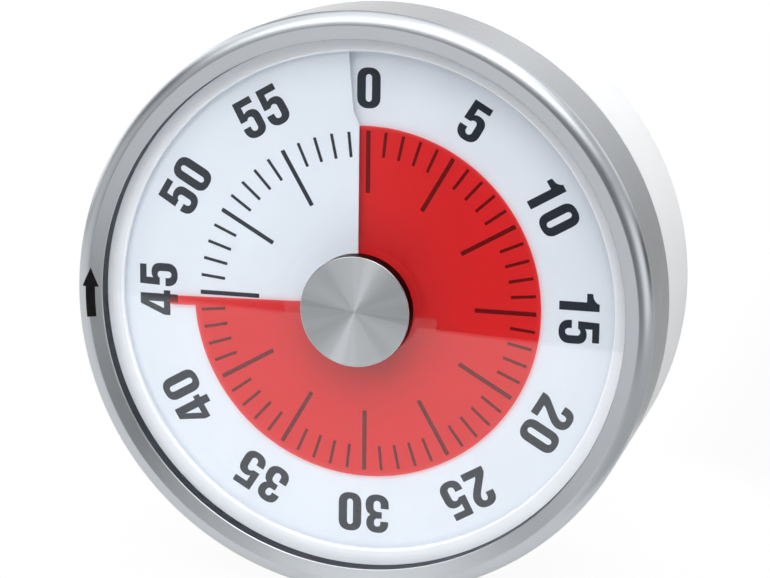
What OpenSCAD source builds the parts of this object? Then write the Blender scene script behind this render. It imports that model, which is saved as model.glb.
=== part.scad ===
// Clockwork countdown timer, 60 minutes: a steel ring, window and knob turn as one and wind the
// spring, and a red film slides over the dial to show the minutes that are left.
// Every sub-part is drawn lying on its back: z runs from the back face to the front, x to the
// right and y to twelve o'clock. upright() then stands it up, so the dial faces -Y.
// Dial angles run clockwise from twelve o'clock.

/* [Case] */
// Diameter of the steel ring and of the white case behind it
outer_d = 80; // [78:1:90]
// Radius of the case's rear edge
rear_round = 1.6; // [0.8:0.2:2]
// Wall of the case behind the ring
case_wall = 2.2; // [1.8:0.1:2.6]
// Wall of the case's neck, which the ring turns on
neck_wall = 1.8; // [1.4:0.1:2.2]
// Thickness of the rear cover
cover_t = 2; // [1.6:0.1:2.6]
// Room for the bell between the rear cover and the movement
bell_room = 6; // [5.6:0.2:8]

/* [Ring and window] */
// Length of the steel ring, from its lip to its back edge
ring_len = 13.6; // [11:0.2:15]
// Thickness of the ring's sheet steel
ring_sheet = 0.6; // [0.4:0.1:0.8]
// Radius of the ring's rounded front edge
ring_round = 1.5; // [1:0.1:2]
// How far the lip's inner edge is turned in, towards the window
lip_turn = 2.5; // [1.8:0.1:3.5]
// Width of the pale band that shows between the dial's edge and the lip
band_w = 1.9; // [1:0.1:2.4]
// Wall of the carrier's skirt, inside the ring
skirt_wall = 1.6; // [1.4:0.1:2]
// Thickness of the window at its edge
window_t = 0.8; // [0.6:0.1:1.2]
// Height of the window's clear field over its edge
window_step = 0.25; // [0.15:0.05:0.4]
// Height of the window's raised centre over its clear field
boss_rise = 0.7; // [0.4:0.1:1.2]
// Diameter of the raised centre at its foot
boss_foot_d = 21.2; // [19:0.2:24]

/* [Knob] */
// Diameter of the knob
knob_d = 15.1; // [13:0.1:16]
// Height of the knob over the window's raised centre
knob_h = 2.3; // [1.8:0.1:4]
// Thickness of the knob's steel cap
knob_sheet = 0.4; // [0.3:0.05:0.6]
// Radius of the knob's stem, which passes through the window
stem_r = 3.5; // [3:0.1:4]

/* [Dial and film] */
// Minutes that the timer is set to
set_minutes = 44.75; // [40:0.25:50]
// Thickness of the dial sheet and of the film
sheet_t = 0.2; // [0.15:0.01:0.25]
// Climb of the dial and of the film in one turn
climb = 1; // [0.9:0.05:1.2]
// Radius of the red film
film_r = 24.2; // [22:0.1:25]
// Radius that the film's pointer reaches
pointer_r = 28.2; // [27:0.1:29]
// Width of the pointer where it leaves the film
pointer_w = 1.2; // [0.8:0.1:2]
// Distance of the dial's slit from the centre line
slit_offset = 1.03; // [0.6:0.01:1.4]
// How far the dial reaches under the pale band
dial_overlap = 1.2; // [0.8:0.1:1.6]

/* [Movement] */
// Gap between the movement's plates and the bosses of the case
plate_gap = 0.8; // [0.4:0.1:1.2]
// Thickness of the movement's plates and of the dial's carrier
plate_t = 1; // [0.8:0.1:1.2]
// Room between the movement's plates
movement_h = 11; // [10.6:0.2:13]
// Room between the movement and the dial's carrier
carrier_room = 3.4; // [3.2:0.1:5]
// Radius of the spindle
spindle_r = 1.5; // [1.3:0.1:1.6]
// Radius of the pivots on the train's arbors
arbor_r = 0.6; // [0.5:0.05:0.7]
// Radius of the pillars
pillar_r = 2; // [1.8:0.1:2.4]
// Radius of the coiled mainspring
spring_r = 11.2; // [10:0.1:11.4]
// Thickness of the mainspring's strip
spring_t = 0.3; // [0.2:0.05:0.4]
// Width of the mainspring's strip
spring_w = 3.8; // [3:0.1:4]
// Radius of the bell
bell_r = 13; // [11:0.5:14]
// Radius of each magnet
magnet_r = 6; // [5:0.1:7]
// Thickness of each magnet
magnet_t = 2.6; // [2:0.1:3]

/* [Gear train] */
// Module of the main wheel's teeth
main_module = 0.45; // [0.44:0.005:0.46]
// Module of the second wheel's teeth
second_module = 0.4; // [0.39:0.005:0.41]
// Module of the third wheel's teeth
third_module = 0.35; // [0.34:0.005:0.36]
// Teeth of the escape wheel
escape_teeth = 15; // [12:1:18]
// Radius of the escape wheel
escape_r = 5.6; // [5:0.1:5.8]
// Radius of the balance wheel
balance_r = 6; // [5.4:0.1:6.4]
// Distance of the third arbor from the spindle
third_ring_r = 21; // [20:0.1:22]
// Distance of the escape arbor from the spindle
escape_ring_r = 21.5; // [21:0.1:22]
// Distance of the balance's staff from the spindle
staff_ring_r = 22.4; // [22:0.1:23]
// Radius of the cam that trips the hammer
cam_r = 5; // [4.5:0.1:5.5]

/* [Hidden] */

$fn = 96;

// Clearances
running = 0.1;   // between a part that turns and the one that carries it
seat = 0.05;     // between fixed parts that push together
free = 0.3;      // between parts that pass each other
bore_fit = 0.05; // between an arbor and its pivot hole

// Radii of the case, the ring and what sits inside them
outer_r = outer_d / 2;
ring_in_r = outer_r - ring_sheet;
skirt_out_r = ring_in_r - seat;
skirt_in_r = skirt_out_r - skirt_wall;
neck_r = skirt_in_r - running;
neck_in_r = neck_r - neck_wall;
case_in_r = outer_r - case_wall;
dial_r = neck_in_r - free;
view_r = dial_r - dial_overlap;
lip_r = view_r + band_w;

// Heights, from the back face to the front
rear_plate_z = cover_t + bell_room;
train_z = rear_plate_z + plate_t;
front_plate_z = train_z + movement_h;
carrier_boss_z = front_plate_z + plate_t;
carrier_z = carrier_boss_z + carrier_room;
carrier_top_z = carrier_z + plate_t;
dial_z = carrier_top_z + climb / 2 + sheet_t / 2 + 0.4; // middle of the dial sheet at 0
hub_flange_t = 0.4;
hub_flange_r = knob_d / 2 - 0.5;
film_top_z = dial_z + 1.5 * climb + sheet_t / 2;
window_back_z = film_top_z + free + hub_flange_t;
window_edge_z = window_back_z + window_t;
window_z = window_edge_z + window_step;
boss_z = window_z + boss_rise;
lip_z = window_edge_z + lip_turn;
ring_back_z = lip_z - ring_len;
shoulder_z = ring_back_z - free;
knob_base_z = boss_z + seat;
knob_top_z = knob_base_z + knob_h;
neck_top_z = dial_z - climb / 2;
bore_top_z = knob_base_z + knob_h / 3; // blind end of the knob's bore for the spindle

// Sleeve of the hub that clamps the window, and the holes that it turns in
sleeve_r = stem_r + 0.5;
film_hole_r = sleeve_r + free;
dial_hole_r = sleeve_r + 1.2;
carrier_hole_r = sleeve_r + 1;

// Snap bead that holds the window carrier on the neck
bead_depth = 0.5;
bead_h = 1.2;
bead_z = shoulder_z + 2;

// Fasteners
screw_r = 1;
screw_head_r = 1.9;
screw_head_h = 1;
carrier_pocket = 0.6; // depth of the pockets that sink the carrier's screw heads
screw_hole_r = screw_r + seat;
slot_w = 0.5;
slot_depth = 0.4;
cover_boss_r = 2.8;
cover_boss_h = bell_room - 0.5;
cover_screw_ring_r = case_in_r - cover_boss_r + 0.2;
carrier_screw_ring_r = pointer_r + free;
ramp_in_r = carrier_screw_ring_r + screw_head_r + free;
lug_w = 6;
lug_t = 2;
lug_turns = [90, 210, 330];

// Plates and pillars, which stand where the train leaves the plates' edge free
plate_r = cover_screw_ring_r - cover_boss_r - plate_gap;
pillar_ring_r = plate_r - pillar_r - 0.6;
pillar_turns = [30, 150, 310];

// Train
main_teeth = 72;
second_leaves = 9;
second_teeth = 60;
third_teeth = 48;
fine_leaves = 8; // leaves of the third and of the escape pinion
arbor_body_r = arbor_r + 0.4; // thick part of an arbor, between its pivots
wheel_bore_r = arbor_body_r + seat;
hub_r = arbor_body_r + 0.8; // hub of the balance, the anchor and the striking arms
arm_w = 1; // width of the anchor's and of the striking arms

// Places of the arbors, as [radius, angle] from the spindle, anticlockwise from +x
second_gap = (main_teeth + second_leaves) * main_module / 2;
third_gap = (second_teeth + fine_leaves) * second_module / 2;
escape_gap = (third_teeth + fine_leaves) * third_module / 2;
staff_gap = escape_r + arbor_body_r + 1;
second_a = 200;
third_a = second_a + turn_between(second_gap, third_ring_r, third_gap);
escape_a = third_a + turn_between(third_ring_r, escape_ring_r, escape_gap);
staff_a = escape_a + turn_between(escape_ring_r, staff_ring_r, staff_gap);
second_at = place(second_gap, second_a);
third_at = place(third_ring_r, third_a);
escape_at = place(escape_ring_r, escape_a);
staff_at = place(staff_ring_r, staff_a);
strike_inset = 5.6; // of the strike arbor, from the plates' edge
strike_at = place(plate_r - strike_inset, 60);
bell_at = [0, 9];
magnet_at = [[-20.5, -11], [20.5, -11]];
spring_post_a = 120;
spring_post_r = 1.2;
spring_pin_r = 0.8; // end of the spring post, in the front plate
spring_post_ring_r = spring_r + spring_post_r + 0.4;

// Heights and thicknesses of the train's wheels, the spring and the striking work
wheel_t = 1.1;
pinion_t = 2;
escape_t = 0.8;
balance_t = 1;
main_wheel_z = train_z + 0.9;
second_wheel_z = main_wheel_z + wheel_t + 1.1;
third_wheel_z = second_wheel_z + wheel_t + 1.4;
escape_wheel_z = third_wheel_z + wheel_t + 1.5;
balance_z = second_wheel_z + 0.2;
spring_z = front_plate_z - spring_w - 0.7;
cam_z = second_wheel_z;

// Distance round the spindle between two arbors at radii a and b that lie gap apart
function turn_between(a, b, gap) = acos((a * a + b * b - gap * gap) / (2 * a * b));
function place(r, angle) = [r * cos(angle), r * sin(angle)];
function direction(from, to) = atan2(to[1] - from[1], to[0] - from[0]);
function arc(centre, r, from, to, steps) =
    [for (i = [0 : steps]) centre + place(r, from + (to - from) * i / steps)];

module upright() {
    rotate([90, 0, 0])
        children();
}

// A disc or cylinder from z to z + h
module disc(r, z, h) {
    translate([0, 0, z])
        cylinder(r = r, h = h);
}

// A tube from z to z + h
module tube(r, hole_r, z, h) {
    difference() {
        disc(r, z, h);
        disc(hole_r, z - 1, h + 2);
    }
}

// Copies of the children round the spindle, at the given anticlockwise angles
module around(r, angles) {
    for (a = angles)
        rotate([0, 0, a])
            translate([r, 0, 0])
                children();
}

// ---------- turning group: ring, window, knob and spindle ----------

// Section of the spun steel ring: side wall, rounded front edge, lip and turned-in edge
module ring_section() {
    inner_round = ring_round - ring_sheet;
    centre = [outer_r - ring_round, lip_z - ring_round];
    edge_round = 0.5;
    edge_centre = [lip_r + edge_round, lip_z - edge_round];
    polygon(concat(
        [[ring_in_r, ring_back_z], [outer_r, ring_back_z]],
        arc(centre, ring_round, 0, 90, 8),
        arc(edge_centre, edge_round, 90, 180, 4),
        [[lip_r, window_edge_z], [lip_r + ring_sheet, window_edge_z]],
        [[lip_r + ring_sheet, lip_z - ring_sheet]],
        arc(centre, inner_round, 90, 0, 6)
    ));
}

module bezel_ring() {
    color("silver")
        upright()
            rotate_extrude()
                ring_section();
}

module window_section() {
    bore_r = stem_r + seat;
    rim_r = skirt_out_r - running;
    foot_r = boss_foot_d / 2;
    top_r = knob_d / 2 + 0.6;
    middle_r = (foot_r + top_r) / 2;
    polygon([
        [bore_r, window_back_z],
        [rim_r, window_back_z],
        [rim_r, window_edge_z],
        [view_r + window_step, window_edge_z],
        [view_r, window_z],
        [foot_r, window_z],
        [middle_r + 0.3, window_z + boss_rise * 0.35],
        [middle_r - 0.3, window_z + boss_rise * 0.65],
        [top_r, boss_z],
        [bore_r, boss_z]
    ]);
}

module window() {
    color([0.9, 0.94, 0.97, 0.35])
        upright()
            rotate_extrude()
                window_section();
}

// White ring behind the window: its flange frames the dial and its skirt turns on the neck
module window_carrier() {
    flange_z = window_back_z - 0.75;
    skirt_z = ring_back_z + 0.4;
    color("whitesmoke")
        upright()
            rotate_extrude()
                polygon([
                    [view_r, flange_z],
                    [skirt_in_r, flange_z],
                    [skirt_in_r, bead_z + bead_h],
                    [skirt_in_r - bead_depth, bead_z + bead_h - bead_depth],
                    [skirt_in_r - bead_depth, bead_z + bead_depth],
                    [skirt_in_r, bead_z],
                    [skirt_in_r, skirt_z],
                    [skirt_out_r, skirt_z],
                    [skirt_out_r, window_back_z],
                    [view_r, window_back_z]
                ]);
}

module knob_cap() {
    edge = 0.3;
    r = knob_d / 2;
    color("lightgrey")
        upright()
            rotate_extrude()
                polygon([
                    [0, knob_top_z - knob_sheet],
                    [r - knob_sheet, knob_top_z - knob_sheet],
                    [r - knob_sheet, knob_base_z],
                    [r, knob_base_z],
                    [r, knob_top_z - edge],
                    [r - edge, knob_top_z],
                    [0, knob_top_z]
                ]);
}

module knob_core() {
    core_top_z = knob_top_z - knob_sheet;
    color("dimgrey")
        upright()
            difference() {
                union() {
                    disc(knob_d / 2 - knob_sheet, knob_base_z, core_top_z - knob_base_z);
                    disc(stem_r, window_back_z, knob_base_z - window_back_z + 0.1);
                }
                disc(spindle_r + seat, window_back_z - 1, bore_top_z - window_back_z + 1);
            }
}

// Flanged bush that clamps the window against the knob and passes through film and dial
module film_hub() {
    sleeve_z = carrier_top_z + 0.1;
    color("whitesmoke")
        upright()
            difference() {
                union() {
                    disc(sleeve_r, sleeve_z, window_back_z - sleeve_z);
                    disc(hub_flange_r, window_back_z - hub_flange_t, hub_flange_t);
                }
                disc(spindle_r + seat, sleeve_z - 1, window_back_z - sleeve_z + 2);
            }
}

module spindle() {
    tail_z = rear_plate_z - 0.6;
    tip_z = bore_top_z - running;
    collar_z = train_z + running;
    color("gainsboro")
        upright()
            union() {
                disc(spindle_r, tail_z, tip_z - tail_z);
                disc(spindle_r + 1, collar_z, main_wheel_z - collar_z);
                disc(spindle_r + 0.9, spring_z, spring_w);
            }
}

// Outline of a gear: teeth with straight flanks, tall tips cut back and room for backlash
module gear_outline(teeth, size, tip, root, phase) {
    pitch_r = teeth * size / 2;
    step = 360 / teeth;
    polygon([
        for (i = [0 : teeth - 1])
            for (p = [[-0.31, root], [-0.19, 0], [-0.09, tip], [0.09, tip], [0.19, 0], [0.31, root]])
                place(pitch_r + p[1] * size, phase + (i + p[0]) * step)
    ]);
}

// A wheel with a bore and round openings between hub and rim
module wheel(teeth, size, z, bore_r, phase, openings) {
    pitch_r = teeth * size / 2;
    ring_r = pitch_r * 0.56;
    opening_r = ring_r * min(0.4, 2 / openings);
    translate([0, 0, z])
        linear_extrude(wheel_t)
            difference() {
                gear_outline(teeth, size, 0.8, -1.1, phase);
                circle(r = bore_r);
                for (i = [1 : openings])
                    rotate(phase + i * 360 / openings)
                        translate([ring_r, 0])
                            circle(r = opening_r);
            }
}

// A pinion in the middle of the wheel at wheel_z that drives it
module pinion(leaves, size, wheel_z, phase) {
    translate([0, 0, wheel_z - (pinion_t - wheel_t) / 2])
        linear_extrude(pinion_t)
            gear_outline(leaves, size, 0.75, -1.1, phase);
}

// Phase that puts a wheel's space opposite the tooth that another wheel has at zero phase
function mesh_phase(teeth, driver_teeth, driver_phase, line) =
    line + 180 + 180 / teeth + (line - driver_phase) * driver_teeth / teeth;

second_phase = mesh_phase(second_leaves, main_teeth, 0, second_a);
third_line = direction(second_at, third_at);
third_phase = mesh_phase(fine_leaves, second_teeth, second_phase, third_line);
escape_line = direction(third_at, escape_at);
escape_phase = mesh_phase(fine_leaves, third_teeth, third_phase, escape_line);

module main_wheel() {
    color("goldenrod")
        upright()
            wheel(main_teeth, main_module, main_wheel_z, spindle_r + seat, 0, 6);
}

// Three-armed spring washer that presses the main wheel on the spindle's collar
module clutch_spring() {
    arm_r = 4.4;
    color("silver")
        upright()
            translate([0, 0, main_wheel_z + wheel_t])
                linear_extrude(0.4)
                    difference() {
                        union() {
                            circle(r = spindle_r + 1.2);
                            for (a = [0, 120, 240])
                                rotate(a)
                                    translate([0, -0.6])
                                        square([arm_r, 1.2]);
                        }
                        circle(r = spindle_r + seat);
                    }
}

// Cam with one notch, which lets the hammer fall at zero
module trip_cam() {
    notch_turn = set_minutes * 6;
    color("gainsboro")
        upright()
            translate([0, 0, cam_z])
                linear_extrude(wheel_t)
                    difference() {
                        circle(r = cam_r);
                        circle(r = spindle_r + seat);
                        rotate(notch_turn)
                            translate([cam_r - 1.2, -0.9])
                                square([2, 1.8]);
                    }
}

// ---------- dial and film: sheets that climb clockwise and pass between each other ----------

function sheet_point(p, z) =
    [p[1] * sin(p[0]), p[1] * cos(p[0]), z + climb * p[0] / 360];

// Sheet from rows of [angle, radius] points: rows follow each other clockwise, and the points
// of a row run outwards
module climbing_sheet(rows, z, t) {
    n = len(rows);
    m = len(rows[0]);
    low = [for (row = rows) for (p = row) sheet_point(p, z - t / 2)];
    high = [for (row = rows) for (p = row) sheet_point(p, z + t / 2)];
    up = n * m;
    faces = concat(
        [for (i = [0 : n - 2]) for (j = [0 : m - 2]) let (a = i * m + j)
            each [[up + a, up + a + 1, up + a + m + 1], [up + a, up + a + m + 1, up + a + m]]],
        [for (i = [0 : n - 2]) for (j = [0 : m - 2]) let (a = i * m + j)
            each [[a + m + 1, a + 1, a], [a + m, a + m + 1, a]]],
        [for (i = [0 : n - 2]) let (a = i * m, b = i * m + m - 1)
            each [[up + a, up + a + m, a + m, a], [up + b + m, up + b, b, b + m]]],
        [for (j = [0 : m - 2]) let (a = j, b = up - m + j)
            each [[up + a + 1, up + a, a, a + 1], [up + b, up + b + 1, b + 1, b]]]
    );
    polyhedron(points = concat(low, high), faces = faces);
}

sheet_step = 7.5; // angle between the rows of a sheet's points
film_arc = 357;   // angle that the film covers, less than a full turn

// White dial: it starts under its own last stretch, and the slit between them lets the film out
module dial_face() {
    bend_r = film_r + 0.3;
    flare_r = film_r + 2;
    flare = slit_offset + 0.8;
    edge_flare = slit_offset + 1.65;
    radii = [dial_hole_r, bend_r, flare_r, dial_r];
    edge = [slit_offset, slit_offset, flare, edge_flare];
    start = [for (j = [0 : 3]) [-asin(edge[j] / radii[j]) - 4, radii[j]]];
    end = [for (j = [0 : 3]) [360 - asin(edge[j] / radii[j]), radii[j]]];
    last = floor((360 - asin(slit_offset / dial_hole_r) - 1) / sheet_step);
    middle = [for (i = [0 : last]) [for (r = radii) [i * sheet_step, r]]];
    color("white")
        upright()
            climbing_sheet(concat([start], middle, [end]), dial_z, sheet_t);
}

// Red film: almost a full turn that ends in the pointer
module red_film() {
    lead = set_minutes * 6;
    tail = lead - film_arc;
    w = pointer_w / film_r * 180 / PI;
    rows = concat(
        [for (a = [tail : sheet_step : lead - w - 1]) [[a, film_hole_r], [a, film_r]]],
        [[[lead - w, film_hole_r], [lead - w, film_r]]],
        [for (p = [[0.94, 0.3], [0.8, 0.94], [0.6, 1], [0.4, 1], [0.2, 0.94], [0, 0.7]])
            [[lead - w * p[0], film_hole_r], [lead - w * p[0], film_r + (pointer_r - film_r) * p[1]]]]
    );
    color([0.85, 0.12, 0.12, 0.85])
        upright()
            climbing_sheet(rows, dial_z + climb / 2, sheet_t);
}

// Plate that carries the dial: its helical rim backs the sheet, and bosses take the movement
module dial_carrier() {
    rim = [for (i = [0 : 46]) let (a = i * sheet_step)
        [[a, ramp_in_r], [a, dial_r]]];
    rim_h = sheet_t + 2 * climb;
    boss_hole_depth = carrier_room - 0.6;
    color("whitesmoke")
        upright() {
            difference() {
                union() {
                    disc(neck_in_r - seat, carrier_z, plate_t);
                    around(pillar_ring_r, pillar_turns)
                        disc(pillar_r + 0.6, carrier_boss_z, carrier_room + plate_t / 2);
                    intersection() {
                        tube(dial_r, ramp_in_r, carrier_top_z - 0.1, 3);
                        climbing_sheet(rim, dial_z - sheet_t / 2 - seat / 2 - rim_h / 2, rim_h);
                    }
                }
                disc(carrier_hole_r, carrier_z - 1, plate_t + 2);
                around(pillar_ring_r, pillar_turns)
                    disc(screw_hole_r, carrier_boss_z - 1, boss_hole_depth + 1);
                around(carrier_screw_ring_r, lug_turns) {
                    disc(screw_hole_r, carrier_z - 1, plate_t + 2);
                    disc(screw_head_r + seat, carrier_top_z - carrier_pocket, plate_t);
                }
            }
        }
}

// A slotted pan-head screw that points to the front, with its head's seat at height z
module screw_from_rear(z, len, head_r, head_h) {
    disc(screw_r, z - 0.1, len + 0.1);
    difference() {
        disc(head_r, z - head_h, head_h);
        translate([-head_r - 1, -slot_w / 2, z - head_h - 1])
            cube([2 * head_r + 2, slot_w, 1 + slot_depth]);
    }
}

module carrier_screws() {
    len = plate_t + lug_t - 0.8;
    color("silver")
        upright()
            around(carrier_screw_ring_r, lug_turns)
                translate([0, 0, carrier_top_z - carrier_pocket])
                    mirror([0, 0, 1])
                        screw_from_rear(0, len, screw_head_r, carrier_pocket - seat);
}

// ---------- case ----------

module case_section() {
    web_z = shoulder_z - case_wall;
    centre = [outer_r - rear_round, rear_round];
    groove = bead_depth + running;
    polygon(concat(
        [[case_in_r, 0]],
        arc(centre, rear_round, -90, 0, 8),
        [
            [outer_r, shoulder_z],
            [neck_r, shoulder_z],
            [neck_r, bead_z - free],
            [neck_r - groove, bead_z + bead_depth - free],
            [neck_r - groove, bead_z + bead_h - bead_depth + free],
            [neck_r, bead_z + bead_h + free],
            [neck_r, neck_top_z],
            [neck_in_r, neck_top_z],
            [neck_in_r, web_z],
            [case_in_r, web_z]
        ]
    ));
}

module case() {
    lug_z = carrier_z - lug_t;
    lug_in_r = carrier_screw_ring_r - screw_head_r;
    color("white")
        upright()
            difference() {
                union() {
                    rotate_extrude()
                        case_section();
                    intersection() {
                        disc(neck_in_r + neck_wall / 2, lug_z, lug_t);
                        around(lug_in_r, lug_turns)
                            translate([0, -lug_w / 2, lug_z])
                                cube([outer_r, lug_w, lug_t]);
                    }
                    intersection() {
                        disc(case_in_r + case_wall / 2, cover_t, cover_boss_h);
                        around(cover_screw_ring_r, lug_turns)
                            disc(cover_boss_r, cover_t, cover_boss_h);
                    }
                }
                around(carrier_screw_ring_r, lug_turns)
                    disc(screw_hole_r, lug_z - 1, lug_t + 2);
                around(cover_screw_ring_r, lug_turns)
                    disc(screw_hole_r, cover_t - 1, cover_boss_h);
            }
}

module rear_cover() {
    pocket_r = magnet_r + seat;
    pocket_h = magnet_t + 0.2;
    cup_wall = 1.2;
    vent_len = 9;
    vent_w = 1.2;
    vent_pitch = 3.2;
    color("white")
        upright()
            difference() {
                union() {
                    disc(case_in_r - running, 0, cover_t);
                    for (m = magnet_at)
                        translate(m)
                            disc(pocket_r + cup_wall, 0, pocket_h + cup_wall / 2);
                }
                for (m = magnet_at)
                    translate(m)
                        disc(pocket_r, -1, pocket_h + 1);
                around(cover_screw_ring_r, lug_turns) {
                    disc(screw_hole_r, -1, cover_t + 2);
                    disc(screw_head_r + 0.2, -1, 1 + screw_head_h + 0.1);
                }
                for (i = [-2 : 2])
                    translate(concat(bell_at + [-vent_len / 2, i * vent_pitch - vent_w / 2], -1))
                        cube([vent_len, vent_w, cover_t + 2]);
            }
}

module cover_screws() {
    color("silver")
        upright()
            around(cover_screw_ring_r, lug_turns)
                screw_from_rear(screw_head_h + 0.1, cover_boss_h - 0.5, screw_head_r, screw_head_h);
}

module magnets() {
    color("darkgrey")
        upright()
            for (m = magnet_at)
                translate(m)
                    disc(magnet_r, 0.1, magnet_t);
}

// ---------- movement: plates, pillars, spring ----------

// Pivot holes of the train, as [place, radius]
pivots = [
    [[0, 0], spindle_r + bore_fit],
    [second_at, arbor_r + bore_fit],
    [third_at, arbor_r + bore_fit],
    [escape_at, arbor_r + bore_fit],
    [staff_at, arbor_r + bore_fit],
    [strike_at, arbor_r + bore_fit]
];

module movement_plate(z) {
    difference() {
        disc(plate_r, z, plate_t);
        for (p = pivots)
            translate(p[0])
                disc(p[1], z - 1, plate_t + 2);
        around(pillar_ring_r, pillar_turns)
            disc(screw_hole_r, z - 1, plate_t + 2);
    }
}

module rear_plate() {
    color("darkkhaki")
        upright()
            difference() {
                movement_plate(rear_plate_z);
                translate(bell_at)
                    disc(screw_hole_r, rear_plate_z - 1, plate_t + 2);
            }
}

module front_plate() {
    color("darkkhaki")
        upright()
            difference() {
                movement_plate(front_plate_z);
                rotate([0, 0, spring_post_a])
                    translate([spring_post_ring_r, 0, 0])
                        disc(spring_pin_r + seat, front_plate_z - 1, plate_t + 2);
            }
}

module pillars() {
    color("goldenrod")
        upright()
            around(pillar_ring_r, pillar_turns)
                tube(pillar_r, screw_hole_r, train_z, movement_h);
}

module movement_screws() {
    reach = plate_t + movement_h + plate_t + carrier_room - 1;
    color("silver")
        upright()
            around(pillar_ring_r, pillar_turns)
                screw_from_rear(rear_plate_z, reach, screw_head_r, screw_head_h);
}

// Spiral strip whose outer end loops round the spring post
module mainspring() {
    inner_r = spindle_r + 1.05 + spring_t / 2;
    turns = 6;
    steps = 18 * turns;
    loop_r = spring_post_r + seat;
    strip = [for (i = [0 : steps]) let (k = i / steps)
        [inner_r + (spring_r - inner_r) * k, spring_post_a - 360 * turns * (1 - k)]];
    color("steelblue")
        upright()
            translate([0, 0, spring_z]) {
                linear_extrude(spring_w)
                    difference() {
                        union() {
                            polygon(concat(
                                [for (s = strip) place(s[0] + spring_t / 2, s[1])],
                                [for (i = [steps : -1 : 0])
                                    place(strip[i][0] - spring_t / 2, strip[i][1])]
                            ));
                            rotate(spring_post_a)
                                translate([spring_post_ring_r, 0])
                                    circle(r = loop_r + spring_t);
                        }
                        rotate(spring_post_a)
                            translate([spring_post_ring_r, 0])
                                circle(r = loop_r);
                    }
            }
}

module spring_post() {
    color("silver")
        upright()
            rotate([0, 0, spring_post_a])
                translate([spring_post_ring_r, 0, 0]) {
                    disc(spring_post_r, spring_z - 0.3, front_plate_z - spring_z + 0.3);
                    disc(spring_pin_r, front_plate_z - 0.1, plate_t + 0.1);
                }
}

// ---------- gear train ----------

// An arbor with thin pivots that run in both plates
module arbor() {
    end_shake = 0.2;
    disc(arbor_r, rear_plate_z, 2 * plate_t + movement_h);
    disc(arbor_body_r, train_z + end_shake, movement_h - 2 * end_shake);
}

module second_arbor() {
    color("silver")
        upright()
            translate(second_at) {
                arbor();
                pinion(second_leaves, main_module, main_wheel_z, second_phase);
            }
}

module second_wheel() {
    color("goldenrod")
        upright()
            translate(second_at)
                wheel(second_teeth, second_module, second_wheel_z, wheel_bore_r, second_phase, 5);
}

module third_arbor() {
    color("silver")
        upright()
            translate(third_at) {
                arbor();
                pinion(fine_leaves, second_module, second_wheel_z, third_phase);
            }
}

module third_wheel() {
    color("goldenrod")
        upright()
            translate(third_at)
                wheel(third_teeth, third_module, third_wheel_z, wheel_bore_r, third_phase, 5);
}

module escape_arbor() {
    color("silver")
        upright()
            translate(escape_at) {
                arbor();
                pinion(fine_leaves, third_module, third_wheel_z, escape_phase);
            }
}

module escape_wheel() {
    step = 360 / escape_teeth;
    root_r = escape_r - 1.3;
    color("goldenrod")
        upright()
            translate(concat(escape_at, escape_wheel_z))
                linear_extrude(escape_t)
                    difference() {
                        polygon([
                            for (i = [0 : escape_teeth - 1])
                                for (p = [[0, root_r], [0.12, escape_r], [0.2, escape_r], [0.6, root_r]])
                                    place(p[1], (i + p[0]) * step)
                        ]);
                        circle(r = wheel_bore_r);
                    }
}

// ---------- balance and anchor ----------

module balance_staff() {
    color("silver")
        upright()
            translate(staff_at)
                arbor();
}

module balance_wheel() {
    rim_w = 1;
    bar_w = 1.2;
    bar_len = 2 * balance_r - rim_w;
    color("goldenrod")
        upright()
            translate(concat(staff_at, balance_z))
                linear_extrude(balance_t)
                    difference() {
                        union() {
                            difference() {
                                circle(r = balance_r);
                                circle(r = balance_r - rim_w);
                            }
                            translate([-bar_len / 2, -bar_w / 2])
                                square([bar_len, bar_w]);
                            circle(r = hub_r);
                        }
                        circle(r = wheel_bore_r);
                    }
}

// Anchor whose two pallets stand over the escape wheel's teeth
module pallet_anchor() {
    line = direction(staff_at, escape_at);
    tip_r = escape_r + 1.8;
    spread = 50;
    tip = [staff_gap - tip_r * cos(spread), tip_r * sin(spread)];
    reach = norm(tip);
    tip_a = atan2(tip[1], tip[0]);
    color("silver")
        upright()
            translate(concat(staff_at, escape_wheel_z - 0.1))
                rotate([0, 0, line])
                    linear_extrude(balance_t)
                        difference() {
                            union() {
                                circle(r = hub_r);
                                for (a = [-tip_a, tip_a])
                                    rotate(a)
                                        translate([0, -arm_w / 2])
                                            square([reach, arm_w]);
                            }
                            circle(r = wheel_bore_r);
                        }
}

// ---------- striking work ----------

hammer_z = cover_t + 2.2;
hammer_t = 1.4;
hammer_gap = 1; // between the hammer's head and the bell at rest

module strike_arbor() {
    tail_z = hammer_z - 0.3;
    color("silver")
        upright()
            translate(strike_at) {
                arbor();
                disc(arbor_r, tail_z, rear_plate_z - tail_z + 0.1);
            }
}

// Arm behind the rear plate whose head stands beside the bell
module hammer() {
    head_r = 1.5;
    head_at = bell_at + place(bell_r + head_r + hammer_gap, 20);
    aim = direction(strike_at, head_at);
    reach = norm(strike_at - head_at);
    color("dimgrey")
        upright()
            translate(concat(strike_at, hammer_z))
                rotate([0, 0, aim])
                    linear_extrude(hammer_t)
                        difference() {
                            union() {
                                circle(r = hub_r);
                                translate([0, -arm_w / 2])
                                    square([reach, arm_w]);
                                translate([reach, 0])
                                    circle(r = head_r);
                            }
                            circle(r = arbor_r + seat);
                        }
}

// Arm between the plates whose tip stands beside the cam
module cam_follower() {
    aim = direction(strike_at, [0, 0]);
    reach = norm(strike_at) - cam_r - free;
    color("silver")
        upright()
            translate(concat(strike_at, cam_z))
                rotate([0, 0, aim])
                    linear_extrude(wheel_t)
                        difference() {
                            union() {
                                circle(r = hub_r);
                                translate([0, -arm_w / 2])
                                    square([reach, arm_w]);
                            }
                            circle(r = wheel_bore_r);
                        }
}

bell_top_z = rear_plate_z - 1.2;
bell_wall = 0.6;

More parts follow.
